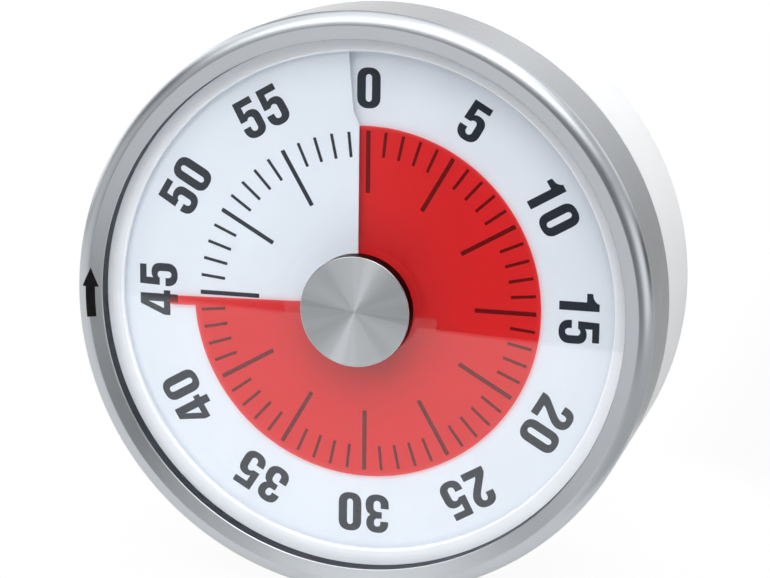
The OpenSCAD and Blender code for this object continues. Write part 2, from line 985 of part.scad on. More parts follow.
module bell() {
    mouth_z = cover_t + 0.8;
    round_r = 2;
    centre = [bell_r - round_r, bell_top_z - round_r];
    color("gainsboro")
        upright()
            translate(bell_at)
                rotate_extrude()
                    polygon(concat(
                        [[screw_hole_r, bell_top_z - bell_wall], [screw_hole_r, bell_top_z]],
                        arc(centre, round_r, 90, 0, 6),
                        [[bell_r, mouth_z], [bell_r - bell_wall, mouth_z]],
                        arc(centre, round_r - bell_wall, 0, 90, 6)
                    ));
}

module bell_screw() {
    len = rear_plate_z + plate_t - bell_top_z + bell_wall;
    spacer_r = 2.4;
    color("silver")
        upright()
            translate(bell_at) {
                screw_from_rear(bell_top_z - bell_wall, len, screw_head_r, screw_head_h);
                tube(spacer_r, screw_r - 0.1, bell_top_z, rear_plate_z - bell_top_z);
            }
}

bezel_ring();
window();
window_carrier();
knob_cap();
knob_core();
film_hub();
spindle();
main_wheel();
clutch_spring();
trip_cam();
red_film();
dial_face();
dial_carrier();
carrier_screws();
case();
rear_cover();
cover_screws();
magnets();
rear_plate();
front_plate();
pillars();
movement_screws();
mainspring();
spring_post();
second_arbor();
second_wheel();
third_arbor();
third_wheel();
escape_arbor();
escape_wheel();
balance_staff();
balance_wheel();
pallet_anchor();
strike_arbor();
hammer();
cam_follower();
bell();
bell_screw();
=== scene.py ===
"""Looks of the 60-minute clockwork timer.

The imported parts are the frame. Turned parts that show, the dial's sheet and the film are built
again here with finer outlines, the print is laid on them, and every part gets its finish.
"""

import logging
import math
from collections.abc import Callable, Iterable, Sequence
from dataclasses import dataclass, field
from enum import Enum
from typing import Any

import bmesh
import bpy
from mathutils import Matrix, Vector


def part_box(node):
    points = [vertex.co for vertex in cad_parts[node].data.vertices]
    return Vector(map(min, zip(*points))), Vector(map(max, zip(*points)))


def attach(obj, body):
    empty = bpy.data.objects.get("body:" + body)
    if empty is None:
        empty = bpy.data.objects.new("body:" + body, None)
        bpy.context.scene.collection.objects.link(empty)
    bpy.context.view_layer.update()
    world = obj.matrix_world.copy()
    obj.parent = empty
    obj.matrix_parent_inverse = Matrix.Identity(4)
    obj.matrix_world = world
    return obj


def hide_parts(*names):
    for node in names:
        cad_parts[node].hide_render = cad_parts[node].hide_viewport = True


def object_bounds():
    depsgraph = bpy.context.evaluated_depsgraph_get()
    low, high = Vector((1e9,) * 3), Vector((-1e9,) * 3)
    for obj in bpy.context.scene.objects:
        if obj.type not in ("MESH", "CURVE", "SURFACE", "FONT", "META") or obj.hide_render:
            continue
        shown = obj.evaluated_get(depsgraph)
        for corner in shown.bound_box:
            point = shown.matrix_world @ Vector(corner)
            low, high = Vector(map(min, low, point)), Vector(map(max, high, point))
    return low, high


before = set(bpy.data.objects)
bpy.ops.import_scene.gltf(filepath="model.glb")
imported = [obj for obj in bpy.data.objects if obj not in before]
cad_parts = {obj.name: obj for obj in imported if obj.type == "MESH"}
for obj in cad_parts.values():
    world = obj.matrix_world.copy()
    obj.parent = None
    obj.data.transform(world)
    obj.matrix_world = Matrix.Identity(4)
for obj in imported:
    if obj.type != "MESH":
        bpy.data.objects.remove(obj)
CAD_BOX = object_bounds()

LOG = logging.getLogger("timer")
MM = 0.001
TINY = 1e-9
IMAGE_SIZE = (770, 578)
UPRIGHT = Matrix.Rotation(math.radians(90), 4, "X")

Colour = tuple[float, float, float]
Outline = list[tuple[float, float]]


class Body(Enum):
    """Bodies that the pieces of this script ride on."""

    CASE = "fixed_case"
    RING = "setting_ring"
    FILM = "film"


# ---------------------------------------------------------------- shader maths


class Signal:
    """A node's output socket that takes part in arithmetic."""

    def __init__(self, graph: "Graph", socket: bpy.types.NodeSocket) -> None:
        """Wraps a socket.

        Args:
            graph: The graph that the socket's node is in.
            socket: The output socket.
        """
        self.graph = graph
        self.socket = socket

    def _math(self, operation: str, left: Any, right: Any) -> "Signal":
        """Adds a Math node.

        Args:
            operation: The Math node's operation.
            left: Its first value or signal.
            right: Its second value or signal.

        Returns:
            The result.
        """
        return self.graph.node("ShaderNodeMath", {"operation": operation}, {0: left, 1: right})

    def __add__(self, other: Any) -> "Signal":
        """Returns self + other."""
        return self._math("ADD", self, other)

    def __radd__(self, other: Any) -> "Signal":
        """Returns other + self."""
        return self._math("ADD", other, self)

    def __sub__(self, other: Any) -> "Signal":
        """Returns self - other."""
        return self._math("SUBTRACT", self, other)

    def __rsub__(self, other: Any) -> "Signal":
        """Returns other - self."""
        return self._math("SUBTRACT", other, self)

    def __mul__(self, other: Any) -> "Signal":
        """Returns self * other."""
        return self._math("MULTIPLY", self, other)

    def __rmul__(self, other: Any) -> "Signal":
        """Returns other * self."""
        return self._math("MULTIPLY", other, self)

    def __truediv__(self, other: Any) -> "Signal":
        """Returns self / other."""
        return self._math("DIVIDE", self, other)

    def __pow__(self, other: Any) -> "Signal":
        """Returns self to the power of other."""
        return self._math("POWER", self, other)

    def ramp(self, low: float, high: float, start: float = 0.0, end: float = 1.0) -> "Signal":
        """Maps low..high smoothly to start..end.

        Args:
            low: Value that becomes start.
            high: Value that becomes end.
            start: Result at and below low.
            end: Result at and above high.

        Returns:
            The mapped signal.
        """
        return self.graph.node(
            "ShaderNodeMapRange",
            {"interpolation_type": "SMOOTHSTEP"},
            {"Value": self, "From Min": low, "From Max": high, "To Min": start, "To Max": end},
        )


class Graph:
    """A node tree that is built by expressions."""

    def __init__(self, tree: bpy.types.NodeTree) -> None:
        """Empties a node tree and keeps it.

        Args:
            tree: The tree of a material or of the world.
        """
        self.tree = tree
        tree.nodes.clear()

    def node(
        self,
        kind: str,
        settings: dict[str, Any] | None = None,
        inputs: dict[int | str, Any] | None = None,
        output: int | str = 0,
    ) -> Signal:
        """Adds a node.

        Args:
            kind: Blender's name of the node's type.
            settings: Its settings, set first.
            inputs: Values or signals of its sockets.
            output: The output that is returned.

        Returns:
            The chosen output.
        """
        node = self.tree.nodes.new(kind)
        for key, value in (settings or {}).items():
            setattr(node, key, value)
        for key, value in (inputs or {}).items():
            if isinstance(value, Signal):
                self.tree.links.new(value.socket, node.inputs[key])
            else:
                node.inputs[key].default_value = value
        if not node.outputs:
            return Signal(self, node.inputs[0])
        return Signal(self, node.outputs[output])

    def mix(self, factor: Any, first: Any, second: Any) -> Signal:
        """Mixes two colours.

        Args:
            factor: Share of the second colour.
            first: Colour at 0.
            second: Colour at 1.

        Returns:
            The mixed colour.
        """
        settings = {"data_type": "RGBA"}
        return self.node("ShaderNodeMix", settings, {0: factor, 6: rgba(first), 7: rgba(second)}, 2)

    def blend(self, factor: Any, first: Signal, second: Signal) -> Signal:
        """Mixes two shaders.

        Args:
            factor: Share of the second shader.
            first: Shader at 0.
            second: Shader at 1.

        Returns:
            The mixed shader.
        """
        return self.node("ShaderNodeMixShader", {}, {0: factor, 1: first, 2: second})

    def place(self) -> tuple[Signal, Signal, Signal, Signal]:
        """Reads where a point is in its object's own frame.

        Returns:
            The point and its x, y and z, in metres.
        """
        point = self.node("ShaderNodeTexCoord", output="Object")
        parts = self.node("ShaderNodeSeparateXYZ", {}, {0: point})
        node = parts.socket.node
        return point, *(Signal(self, node.outputs[i]) for i in range(3))

    def noise(self, point: Signal, size: float, detail: float = 2.0) -> Signal:
        """Adds noise of a real size.

        Args:
            point: Where it is read, in metres.
            size: Width of its spots in metres.
            detail: Number of finer layers.

        Returns:
            Noise from 0 to 1.
        """
        inputs = {"Vector": point, "Scale": 1.0 / size, "Detail": detail}
        return self.node("ShaderNodeTexNoise", {}, inputs)

    def bump(self, height: Signal, depth: float, strength: float) -> Signal:
        """Turns a height into a normal.

        Args:
            height: Height from 0 to 1.
            depth: What a height of 1 is in metres.
            strength: Share of the effect, from 0 to 1.

        Returns:
            The normal.
        """
        inputs = {"Height": height, "Distance": depth, "Strength": strength}
        return self.node("ShaderNodeBump", {}, inputs)

    def surface(self, shader: Signal) -> None:
        """Makes a shader the material's surface."""
        self.node("ShaderNodeOutputMaterial", {}, {"Surface": shader})


def rgba(colour: Any) -> Any:
    """Adds an alpha of 1 to three numbers, and leaves a signal as it is."""
    return colour if isinstance(colour, Signal) else (*colour, 1.0)


# ---------------------------------------------------------------- finishes


@dataclass(frozen=True)
class Finish:
    """What a surface is made of and how it was finished.

    Attributes:
        name: Its own name.
        slot: The record's material slot that it belongs to. It is not used here.
        colour: Its colour.
        roughness: Its roughness.
    """

    name: str
    slot: str
    colour: Colour
    roughness: float

    def draw(self, graph: Graph) -> Signal:
        """Adds the finish's nodes.

        Args:
            graph: The material's graph.

        Returns:
            The shader.
        """
        inputs = {"Base Color": rgba(self.colour), "Roughness": self.roughness}
        return graph.node("ShaderNodeBsdfPrincipled", {}, inputs)

    def material(self) -> bpy.types.Material:
        """Returns the material of this finish, which is made once."""
        found = bpy.data.materials.get(self.name)
        if found is None:
            found = bpy.data.materials.new(self.name)
            found.use_nodes = True
            graph = Graph(found.node_tree)
            graph.surface(self.draw(graph))
        return found

    def dress(self, piece: bpy.types.Object) -> None:
        """Gives a piece this finish alone.

        Args:
            piece: The piece.
        """
        if not piece.material_slots:
            piece.data.materials.append(None)
        for slot in piece.material_slots:
            slot.material = self.material()


@dataclass(frozen=True)
class SpunSteel(Finish):
    """Steel that was brushed while it turned, so fine grooves run round its axis.

    Attributes:
        groove: Width of the grooves in metres.
        lift: How strongly the grooves bend the light.
        stretch: How much further highlights run across the grooves than along them.
        fans: Sectors of painted highlight and painted shade, each as its angle from 12
        o'clock and half its width in degrees, and the share of the colour that it adds.

    The colour runs from DARKEST to LIGHTEST of itself. It starts at the tone PLAIN of that range,
    and grooves and stains add up to UNEVEN each. The painted sectors then add painted highlight
    and painted shade on top.
    """

    groove: float = 0.06 * MM
    lift: float = 0.12
    stretch: float = 0.7
    fans: tuple[tuple[float, float, float], ...] = ()

    DARKEST = 0.75
    LIGHTEST = 1.25
    PLAIN = 0.36
    UNEVEN = 0.12

    def draw(self, graph: Graph) -> Signal:
        """Adds grooves, their gloss, faint stains and the painted highlight and shade of the
        sectors.

        Args:
            graph: The material's graph.

        Returns:
            The shader.
        """
        point, x, y, z = graph.place()
        radius = (x * x + y * y) ** 0.5
        round_x = x / radius * (8 * self.groove)
        round_y = y / radius * (8 * self.groove)
        lane = graph.node("ShaderNodeCombineXYZ", {}, {0: radius, 1: z, 2: round_x})
        grooves = graph.node(
            "ShaderNodeTexNoise",
            {"noise_dimensions": "4D"},
            {"Vector": lane, "W": round_y / self.groove, "Scale": 1 / self.groove, "Detail": 3.0},
        )
        stains = graph.noise(point, 9 * MM)
        tone = self.PLAIN + self.UNEVEN * grooves + self.UNEVEN * stains
        # Painted highlight and painted shade: each sector lightens or darkens the colour at a fixed
        # angle and at the one opposite, so it turns with the part.
        for angle, half, gain in self.fans:
            turn = math.radians(angle)
            along = (x * math.sin(turn) + y * math.cos(turn)) / radius
            share = (along * along).ramp(math.cos(math.radians(half)) ** 2, 1.0)
            tone = tone + gain / (self.LIGHTEST - self.DARKEST) * share
        inputs = {
            "Base Color": graph.mix(
                tone,
                tuple(self.DARKEST * c for c in self.colour),
                tuple(min(1.0, self.LIGHTEST * c) for c in self.colour),
            ),
            "Metallic": 1.0,
            "Roughness": self.roughness - 0.05 + 0.08 * grooves + 0.04 * stains,
            "Anisotropic": self.stretch,
            "Anisotropic Rotation": 0.25,
            "Normal": graph.bump(grooves, 0.2 * self.groove, self.lift),
        }
        return graph.node("ShaderNodeBsdfPrincipled", {}, inputs)


@dataclass(frozen=True)
class CutMetal(Finish):
    """Sheet or bar metal with straight fine scratches and a slightly uneven tone.

    Attributes:
        second: The colour that stains and oil film pull it to.
        scratch: Width of the scratches in metres.
        grazing: Tint of its mirror at a grazing angle.
    """

    second: Colour = (0.5, 0.5, 0.5)
    scratch: float = 0.05 * MM
    grazing: float = 1.0

    def draw(self, graph: Graph) -> Signal:
        """Adds scratches and stains.

        Args:
            graph: The material's graph.

        Returns:
            The shader.
        """
        point, x, y, z = graph.place()
        along = graph.node("ShaderNodeCombineXYZ", {}, {0: 0.04 * x, 1: y, 2: z})
        scratches = graph.noise(along, self.scratch, 3.0)
        stains = graph.noise(point, 5 * MM, 3.0)
        inputs = {
            "Base Color": graph.mix(stains.ramp(0.35, 0.75), self.colour, self.second),
            "Metallic": 1.0,
            "Specular Tint": rgba((self.grazing,) * 3),
            "Roughness": self.roughness - 0.06 + 0.1 * scratches + 0.08 * stains,
            "Normal": graph.bump(scratches, 0.01 * MM, 0.2),
        }
        return graph.node("ShaderNodeBsdfPrincipled", {}, inputs)


@dataclass(frozen=True)
class MouldedPlastic(Finish):
    """Moulded plastic with a fine spark-eroded grain.

    Attributes:
        grain: Width of the grain in metres.
        depth: Depth of the grain in metres.
        gloss: Strength of its mirror.
        glow: Strength of an emission in its own colour, which lightens it where it lies in shade.
    """

    grain: float = 0.25 * MM
    depth: float = 0.004 * MM
    gloss: float = 0.5
    glow: float = 0.0

    def draw(self, graph: Graph) -> Signal:
        """Adds the grain, faint flow marks, their gloss and any painted light.

        Args:
            graph: The material's graph.

        Returns:
            The shader.
        """
        point, *_ = graph.place()
        grain = graph.noise(point, self.grain, 2.0)
        flow = graph.noise(point, 12 * MM, 2.0)
        shade = tuple(0.965 * c for c in self.colour)
        inputs = {
            "Base Color": graph.mix(flow.ramp(0.3, 0.7), self.colour, shade),
            "Roughness": self.roughness + 0.06 * grain + 0.05 * flow - 0.05,
            "IOR": 1.46,
            "Specular IOR Level": self.gloss,
            "Emission Color": rgba(self.colour),
            "Emission Strength": self.glow,
            "Normal": graph.bump(grain, self.depth, 0.5),
        }
        return graph.node("ShaderNodeBsdfPrincipled", {}, inputs)


@dataclass(frozen=True)
class PrintedSheet(Finish):
    """Thin satin sheet, faintly uneven where it was printed white."""

    def draw(self, graph: Graph) -> Signal:
        """Adds the print's faint clouds and the sheet's ripple.

        Args:
            graph: The material's graph.

        Returns:
            The shader.
        """
        point, *_ = graph.place()
        clouds = graph.noise(point, 6 * MM, 3.0)
        ripple = graph.noise(point, 0.35 * MM, 2.0)
        shade = tuple(0.975 * c for c in self.colour)
        inputs = {
            "Base Color": graph.mix(clouds.ramp(0.3, 0.7), self.colour, shade),
            "Roughness": self.roughness + 0.1 * ripple,
            "Specular IOR Level": 0.3,
            "Normal": graph.bump(ripple, 0.003 * MM, 0.3),
        }
        return graph.node("ShaderNodeBsdfPrincipled", {}, inputs)


@dataclass(frozen=True)
class Ink(Finish):
    """Screen-printed ink, a little worn through where it lies thin."""

    def draw(self, graph: Graph) -> Signal:
        """Adds thin spots and the ink's dull skin.

        Args:
            graph: The material's graph.

        Returns:
            The shader.
        """
        point, *_ = graph.place()
        thin = graph.noise(point, 0.3 * MM, 3.0)
        worn = tuple(c + 0.008 for c in self.colour)
        inputs = {
            "Base Color": graph.mix(thin.ramp(0.45, 0.8), self.colour, worn),
            "Roughness": self.roughness + 0.12 * thin,
            "Specular IOR Level": 0.1,
            "Normal": graph.bump(thin, 0.004 * MM, 0.3),
        }
        return graph.node("ShaderNodeBsdfPrincipled", {}, inputs)


@dataclass(frozen=True)
class TintedFilm(Finish):
    """Dyed film that shows the print behind it.

    Attributes:
        tint: Colour of the light that passes once.
        cover: Share of the light that the dye scatters.
    """

    tint: Colour = (0.9, 0.2, 0.15)
    cover: float = 0.2

    def draw(self, graph: Graph) -> Signal:
        """Mixes the scattering dye with what passes through.

        Args:
            graph: The material's graph.

        Returns:
            The shader.
        """
        point, *_ = graph.place()
        dye = graph.noise(point, 4 * MM, 2.0)
        deep = tuple(0.94 * c for c in self.colour)
        inputs = {
            "Base Color": graph.mix(dye, self.colour, deep),
            "Roughness": self.roughness + 0.08 * dye,
            "Specular IOR Level": 0.3,
        }
        skin = graph.node("ShaderNodeBsdfPrincipled", {}, inputs)
        clear = graph.node("ShaderNodeBsdfTransparent", {}, {"Color": rgba(self.tint)})
        return graph.blend(self.cover, clear, skin)


@dataclass(frozen=True)
class ClearPlastic(Finish):
    """Polished clear plastic: it mirrors a little and lets the rest through.

    Attributes:
        mirror: Share of the light that a face mirrors when it is met squarely.
    """

    mirror: float = 0.04

    def draw(self, graph: Graph) -> Signal:
        """Mixes what passes through with the mirror of its two faces.

        Args:
            graph: The material's graph.

        Returns:
            The shader.
        """
        point, *_ = graph.place()
        haze = graph.noise(point, 3 * MM, 2.0)
        clear = graph.node("ShaderNodeBsdfTransparent", {}, {"Color": rgba(self.colour)})
        mirror = graph.node(
            "ShaderNodeBsdfAnisotropic",
            {},
            {"Color": (1.0, 1.0, 1.0, 1.0), "Roughness": self.roughness},
        )
        facing = graph.node("ShaderNodeLayerWeight", {}, {"Blend": 0.5}, "Facing")
        share = self.mirror + (1 - self.mirror) * facing**5 + 0.004 * haze
        return graph.blend(share, clear, mirror)


RING_STEEL = SpunSteel("spun_ring", "ring_steel", (0.535, 0.56, 0.588), 0.30)
# The ring's outer wall is painted shade: a darker copy of the ring's spun steel, for the darker
# room that it mirrors.
RING_SIDE_SHADE = SpunSteel("ring_side_painted_shade", "ring_steel", (0.37, 0.385, 0.405), 0.26)
# The knob's painted sectors: painted highlight at 20 and 63 degrees, painted shade at -14 degrees
# and a dark painted line at 97.
KNOB_STEEL = SpunSteel(
    "spun_knob_painted_sheen",
    "knob_steel",
    (0.535, 0.558, 0.58),
    0.30,
    groove=0.05 * MM,
    stretch=1.0,
    fans=((20, 12, 0.12), (-14, 16, -0.1), (63, 18, 0.12), (97, 5, -0.12)),
)
# The lip's inner wall is painted shade: near-black steel where the turned-in lip lies in shade.
LIP_SHADE = CutMetal("lip_painted_shade", "dark_steel", (0.03, 0.035, 0.045), 0.45, (0.04, 0.045, 0.06))
# The knob's side wall is painted shade and a painted reflection: near-black steel tinted red for
# the red film that it mirrors, with its grazing mirror dimmed.
KNOB_SIDE = CutMetal(
    "knob_side_painted_shade", "spring_steel", (0.07, 0.035, 0.04), 0.25, (0.05, 0.03, 0.035), grazing=0.4
)
KNOB_EDGE = CutMetal("knob_edge", "bright_steel", (0.5, 0.5, 0.51), 0.2, (0.42, 0.42, 0.43))
WINDOW_CLEAR = ClearPlastic("window_clear", "clear_window", (0.985, 0.99, 0.995), 0.0)
FILM_RED = TintedFilm(
    "film_red", "red_film", (0.97, 0.03, 0.04), 0.35, tint=(1.0, 0.4, 0.4), cover=0.08
)
DIAL_WHITE = PrintedSheet("dial_print", "dial_white", (0.825, 0.877, 0.942), 0.42)
PRINT_INK = Ink("print_ink", "dark_plastic", (0.018, 0.025, 0.037), 0.6)
ARROW_INK = Ink("arrow_ink", "dark_steel", (0.003, 0.003, 0.003), 0.6)
CASE_WHITE = MouldedPlastic("case_shell", "case_white", (0.85, 0.86, 0.88), 0.5, gloss=0.2)
# The white moulding carries painted light: an emission in its own colour lightens the carrier's
# flange where the ring's lip shades it.
CARRIER_WHITE = MouldedPlastic(
    "moulding_painted_light", "white_plastic", (0.92, 0.94, 0.97), 0.42, glow=0.075
)
DARK_PLASTIC = MouldedPlastic("dark_moulding", "dark_plastic", (0.05, 0.05, 0.055), 0.42)
MAGNET_GREY = MouldedPlastic(
    "magnet_face", "magnet", (0.09, 0.09, 0.1), 0.5, grain=0.12 * MM, depth=0.01 * MM
)
BRASS = CutMetal("wheel_brass", "brass", (0.78, 0.56, 0.24), 0.27, (0.66, 0.45, 0.18))
PLATE_BRASS = CutMetal("plate_metal", "plate_brass", (0.74, 0.56, 0.29), 0.34, (0.62, 0.46, 0.22))
BRIGHT_STEEL = CutMetal("bright_metal", "bright_steel", (0.62, 0.62, 0.63), 0.25, (0.5, 0.5, 0.52))
DARK_STEEL = CutMetal("dark_metal", "dark_steel", (0.22, 0.22, 0.24), 0.38, (0.14, 0.13, 0.13))
SPRING_STEEL = CutMetal("blued_steel", "spring_steel", (0.16, 0.22, 0.36), 0.26, (0.3, 0.27, 0.33))
BELL_STEEL = CutMetal("bell_metal", "bell_steel", (0.75, 0.75, 0.76), 0.12, (0.66, 0.65, 0.64))


# ---------------------------------------------------------------- mesh tools


def arc(
    centre: tuple[float, float],
    radius: float | tuple[float, float],
    start: float,
    end: float,
    steps: int = 12,
    square: float = 2.0,
) -> Outline:
    """Points along an arc, or along an ellipse with fuller corners.

    Args:
        centre: Its centre.
        radius: Its radius, or its two half widths.
        start: Angle of the first point, in degrees anticlockwise from +x.
        end: Angle of the last point.
        steps: Number of stretches.
        square: 2 gives an ellipse, and more gives fuller corners.

    Returns:
        The points.
    """
    wide, high = radius if isinstance(radius, tuple) else (radius, radius)
    points = []
    for i in range(steps + 1):
        turn = math.radians(start + (end - start) * i / steps)
        c, s = math.cos(turn), math.sin(turn)
        x = math.copysign(abs(c) ** (2 / square), c)
        y = math.copysign(abs(s) ** (2 / square), s)
        points.append((centre[0] + wide * x, centre[1] + high * y))
    return points


def new_piece(name: str, mesh: bmesh.types.BMesh, body: Body) -> bpy.types.Object:
    """Turns a mesh that was built lying on its back into a piece that stands and rides.

    Args:
        name: The piece's name.
        mesh: Its faces, with z towards the dial's front.
        body: The body that it rides on.

    Returns:
        The piece.
    """
    bmesh.ops.recalc_face_normals(mesh, faces=mesh.faces)
    data = bpy.data.meshes.new(name)
    mesh.to_mesh(data)
    mesh.free()
    piece = bpy.data.objects.new(name, data)
    bpy.context.scene.collection.objects.link(piece)
    piece.matrix_world = UPRIGHT
    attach(piece, body.value)
    return piece


def shade(piece: bpy.types.Object, crease: float = 32.0) -> None:
    """Shades a piece smoothly, apart from its creases.

    Args:
        piece: The piece.
        crease: Angle in degrees from which an edge stays sharp.
    """
    piece.data.polygons.foreach_set("use_smooth", [True] * len(piece.data.polygons))
    piece.data.set_sharp_from_angle(angle=math.radians(crease))


def supported(outline: Outline, gap: float = 0.04 * MM) -> Outline:
    """Adds points near the ends of long stretches, so that smooth shading leaves them flat.

    Args:
        outline: A closed outline.
        gap: Distance of the added points from the ends.

    Returns:
        The outline with the points.
    """
    points = []
    for (r0, z0), (r1, z1) in zip(outline, outline[1:] + outline[:1]):
        points.append((r0, z0))
        length = math.hypot(r1 - r0, z1 - z0)
        if length > 8 * gap:
            for share in (gap / length, 1 - gap / length):
                points.append((r0 + (r1 - r0) * share, z0 + (z1 - z0) * share))
    return points


def turned(name: str, outline: Outline, body: Body, steps: int = 240) -> bpy.types.Object:
    """Turns a closed outline round the axis.

    Args:
        name: The piece's name.
        outline: Points as (radius, height). A radius of 0 closes the end.
        body: The body that it rides on.
        steps: Number of stretches round the axis.

    Returns:
        The piece.
    """
    mesh = bmesh.new()
    rings = []
    for radius, height in supported(outline):
        if radius < TINY:
            rings.append([mesh.verts.new((0.0, 0.0, height))] * steps)
            continue
        ring = []
        for i in range(steps):
            turn = 2 * math.pi * i / steps
            ring.append(mesh.verts.new((radius * math.sin(turn), radius * math.cos(turn), height)))
        rings.append(ring)
    for near, far in zip(rings, rings[1:] + rings[:1]):
        for i in range(steps):
            j = (i + 1) % steps
            corners = list(dict.fromkeys((near[i], near[j], far[j], far[i])))
            if len(corners) > 2:
                mesh.faces.new(corners)
    piece = new_piece(name, mesh, body)
    shade(piece)
    return piece


def at(turn: float, radius: float, height: float) -> tuple[float, float, float]:
    """Gives a point by its dial angle.

    Args:
        turn: Degrees clockwise from twelve o'clock.
        radius: Distance from the axis.
        height: Height from the back.

    Returns:
        The point, lying on its back.
    """
    angle = math.radians(turn)
    return (radius * math.sin(angle), radius * math.cos(angle), height)


def sheet(
    name: str,
    rows: Sequence[Sequence[tuple[float, float]]],
    height: Callable[[float], float],
    thickness: float,
    body: Body,
) -> bpy.types.Object:
    """Builds a thin sheet from rows of points.

    Args:
        name: The piece's name.
        rows: Rows of (dial angle, radius), each from the inside out.
        height: Height of the sheet's middle at a dial angle.
        thickness: The sheet's thickness.
        body: The body that it rides on.

    Returns:
        The piece.
    """
    mesh = bmesh.new()
    layers = []
    for side in (-0.5, 0.5):
        layers.append([
            [mesh.verts.new(at(a, r, height(a) + side * thickness)) for a, r in row]
            for row in rows
        ])
    last, edge = len(rows) - 1, len(rows[0]) - 1
    for layer in layers:
        for i in range(last):
            for j in range(edge):
                mesh.faces.new((
                    layer[i][j], layer[i][j + 1], layer[i + 1][j + 1], layer[i + 1][j]
                ))
    low, high = layers
    for i in range(last):
        for j in (0, edge):
            mesh.faces.new((low[i][j], low[i + 1][j], high[i + 1][j], high[i][j]))
    for j in range(edge):
        for i in (0, last):
            mesh.faces.new((low[i][j], low[i][j + 1], high[i][j + 1], high[i][j]))
    piece = new_piece(name, mesh, body)
    shade(piece)
    return piece


def flat_print(
    name: str,
    shapes: Iterable[list[Outline]],
    height: Callable[[float, float], float],
    body: Body,
) -> bpy.types.Object:
    """Lays flat shapes on a surface.

    Args:
        name: The piece's name.
        shapes: Each shape is its outline and then its holes, as (x, y) points.
        height: Height of the print at x and y.
        body: The body that it rides on.

    Returns:
        The piece.
    """
    curve = bpy.data.curves.new(name, "CURVE")
    curve.dimensions = "2D"
    curve.fill_mode = "BOTH"
    mesh = bmesh.new()
    for outlines in shapes:
        curve.splines.clear()
        for outline in outlines:
            spline = curve.splines.new("POLY")
            spline.points.add(len(outline) - 1)
            for point, (x, y) in zip(spline.points, outline):
                point.co = (x / MM, y / MM, 0.0, 1.0)
            spline.use_cyclic_u = True
        holder = bpy.data.objects.new(name, curve)
        flat = holder.to_mesh()
        flat.transform(Matrix.Scale(MM, 4))
        mesh.from_mesh(flat)
        holder.to_mesh_clear()
        bpy.data.objects.remove(holder)
    bpy.data.curves.remove(curve)
    for vert in mesh.verts:
        vert.co.z = height(vert.co.x, vert.co.y)
    for face in mesh.faces:
        face.normal_update()
    return new_piece(name, mesh, body)


# ---------------------------------------------------------------- dial and film


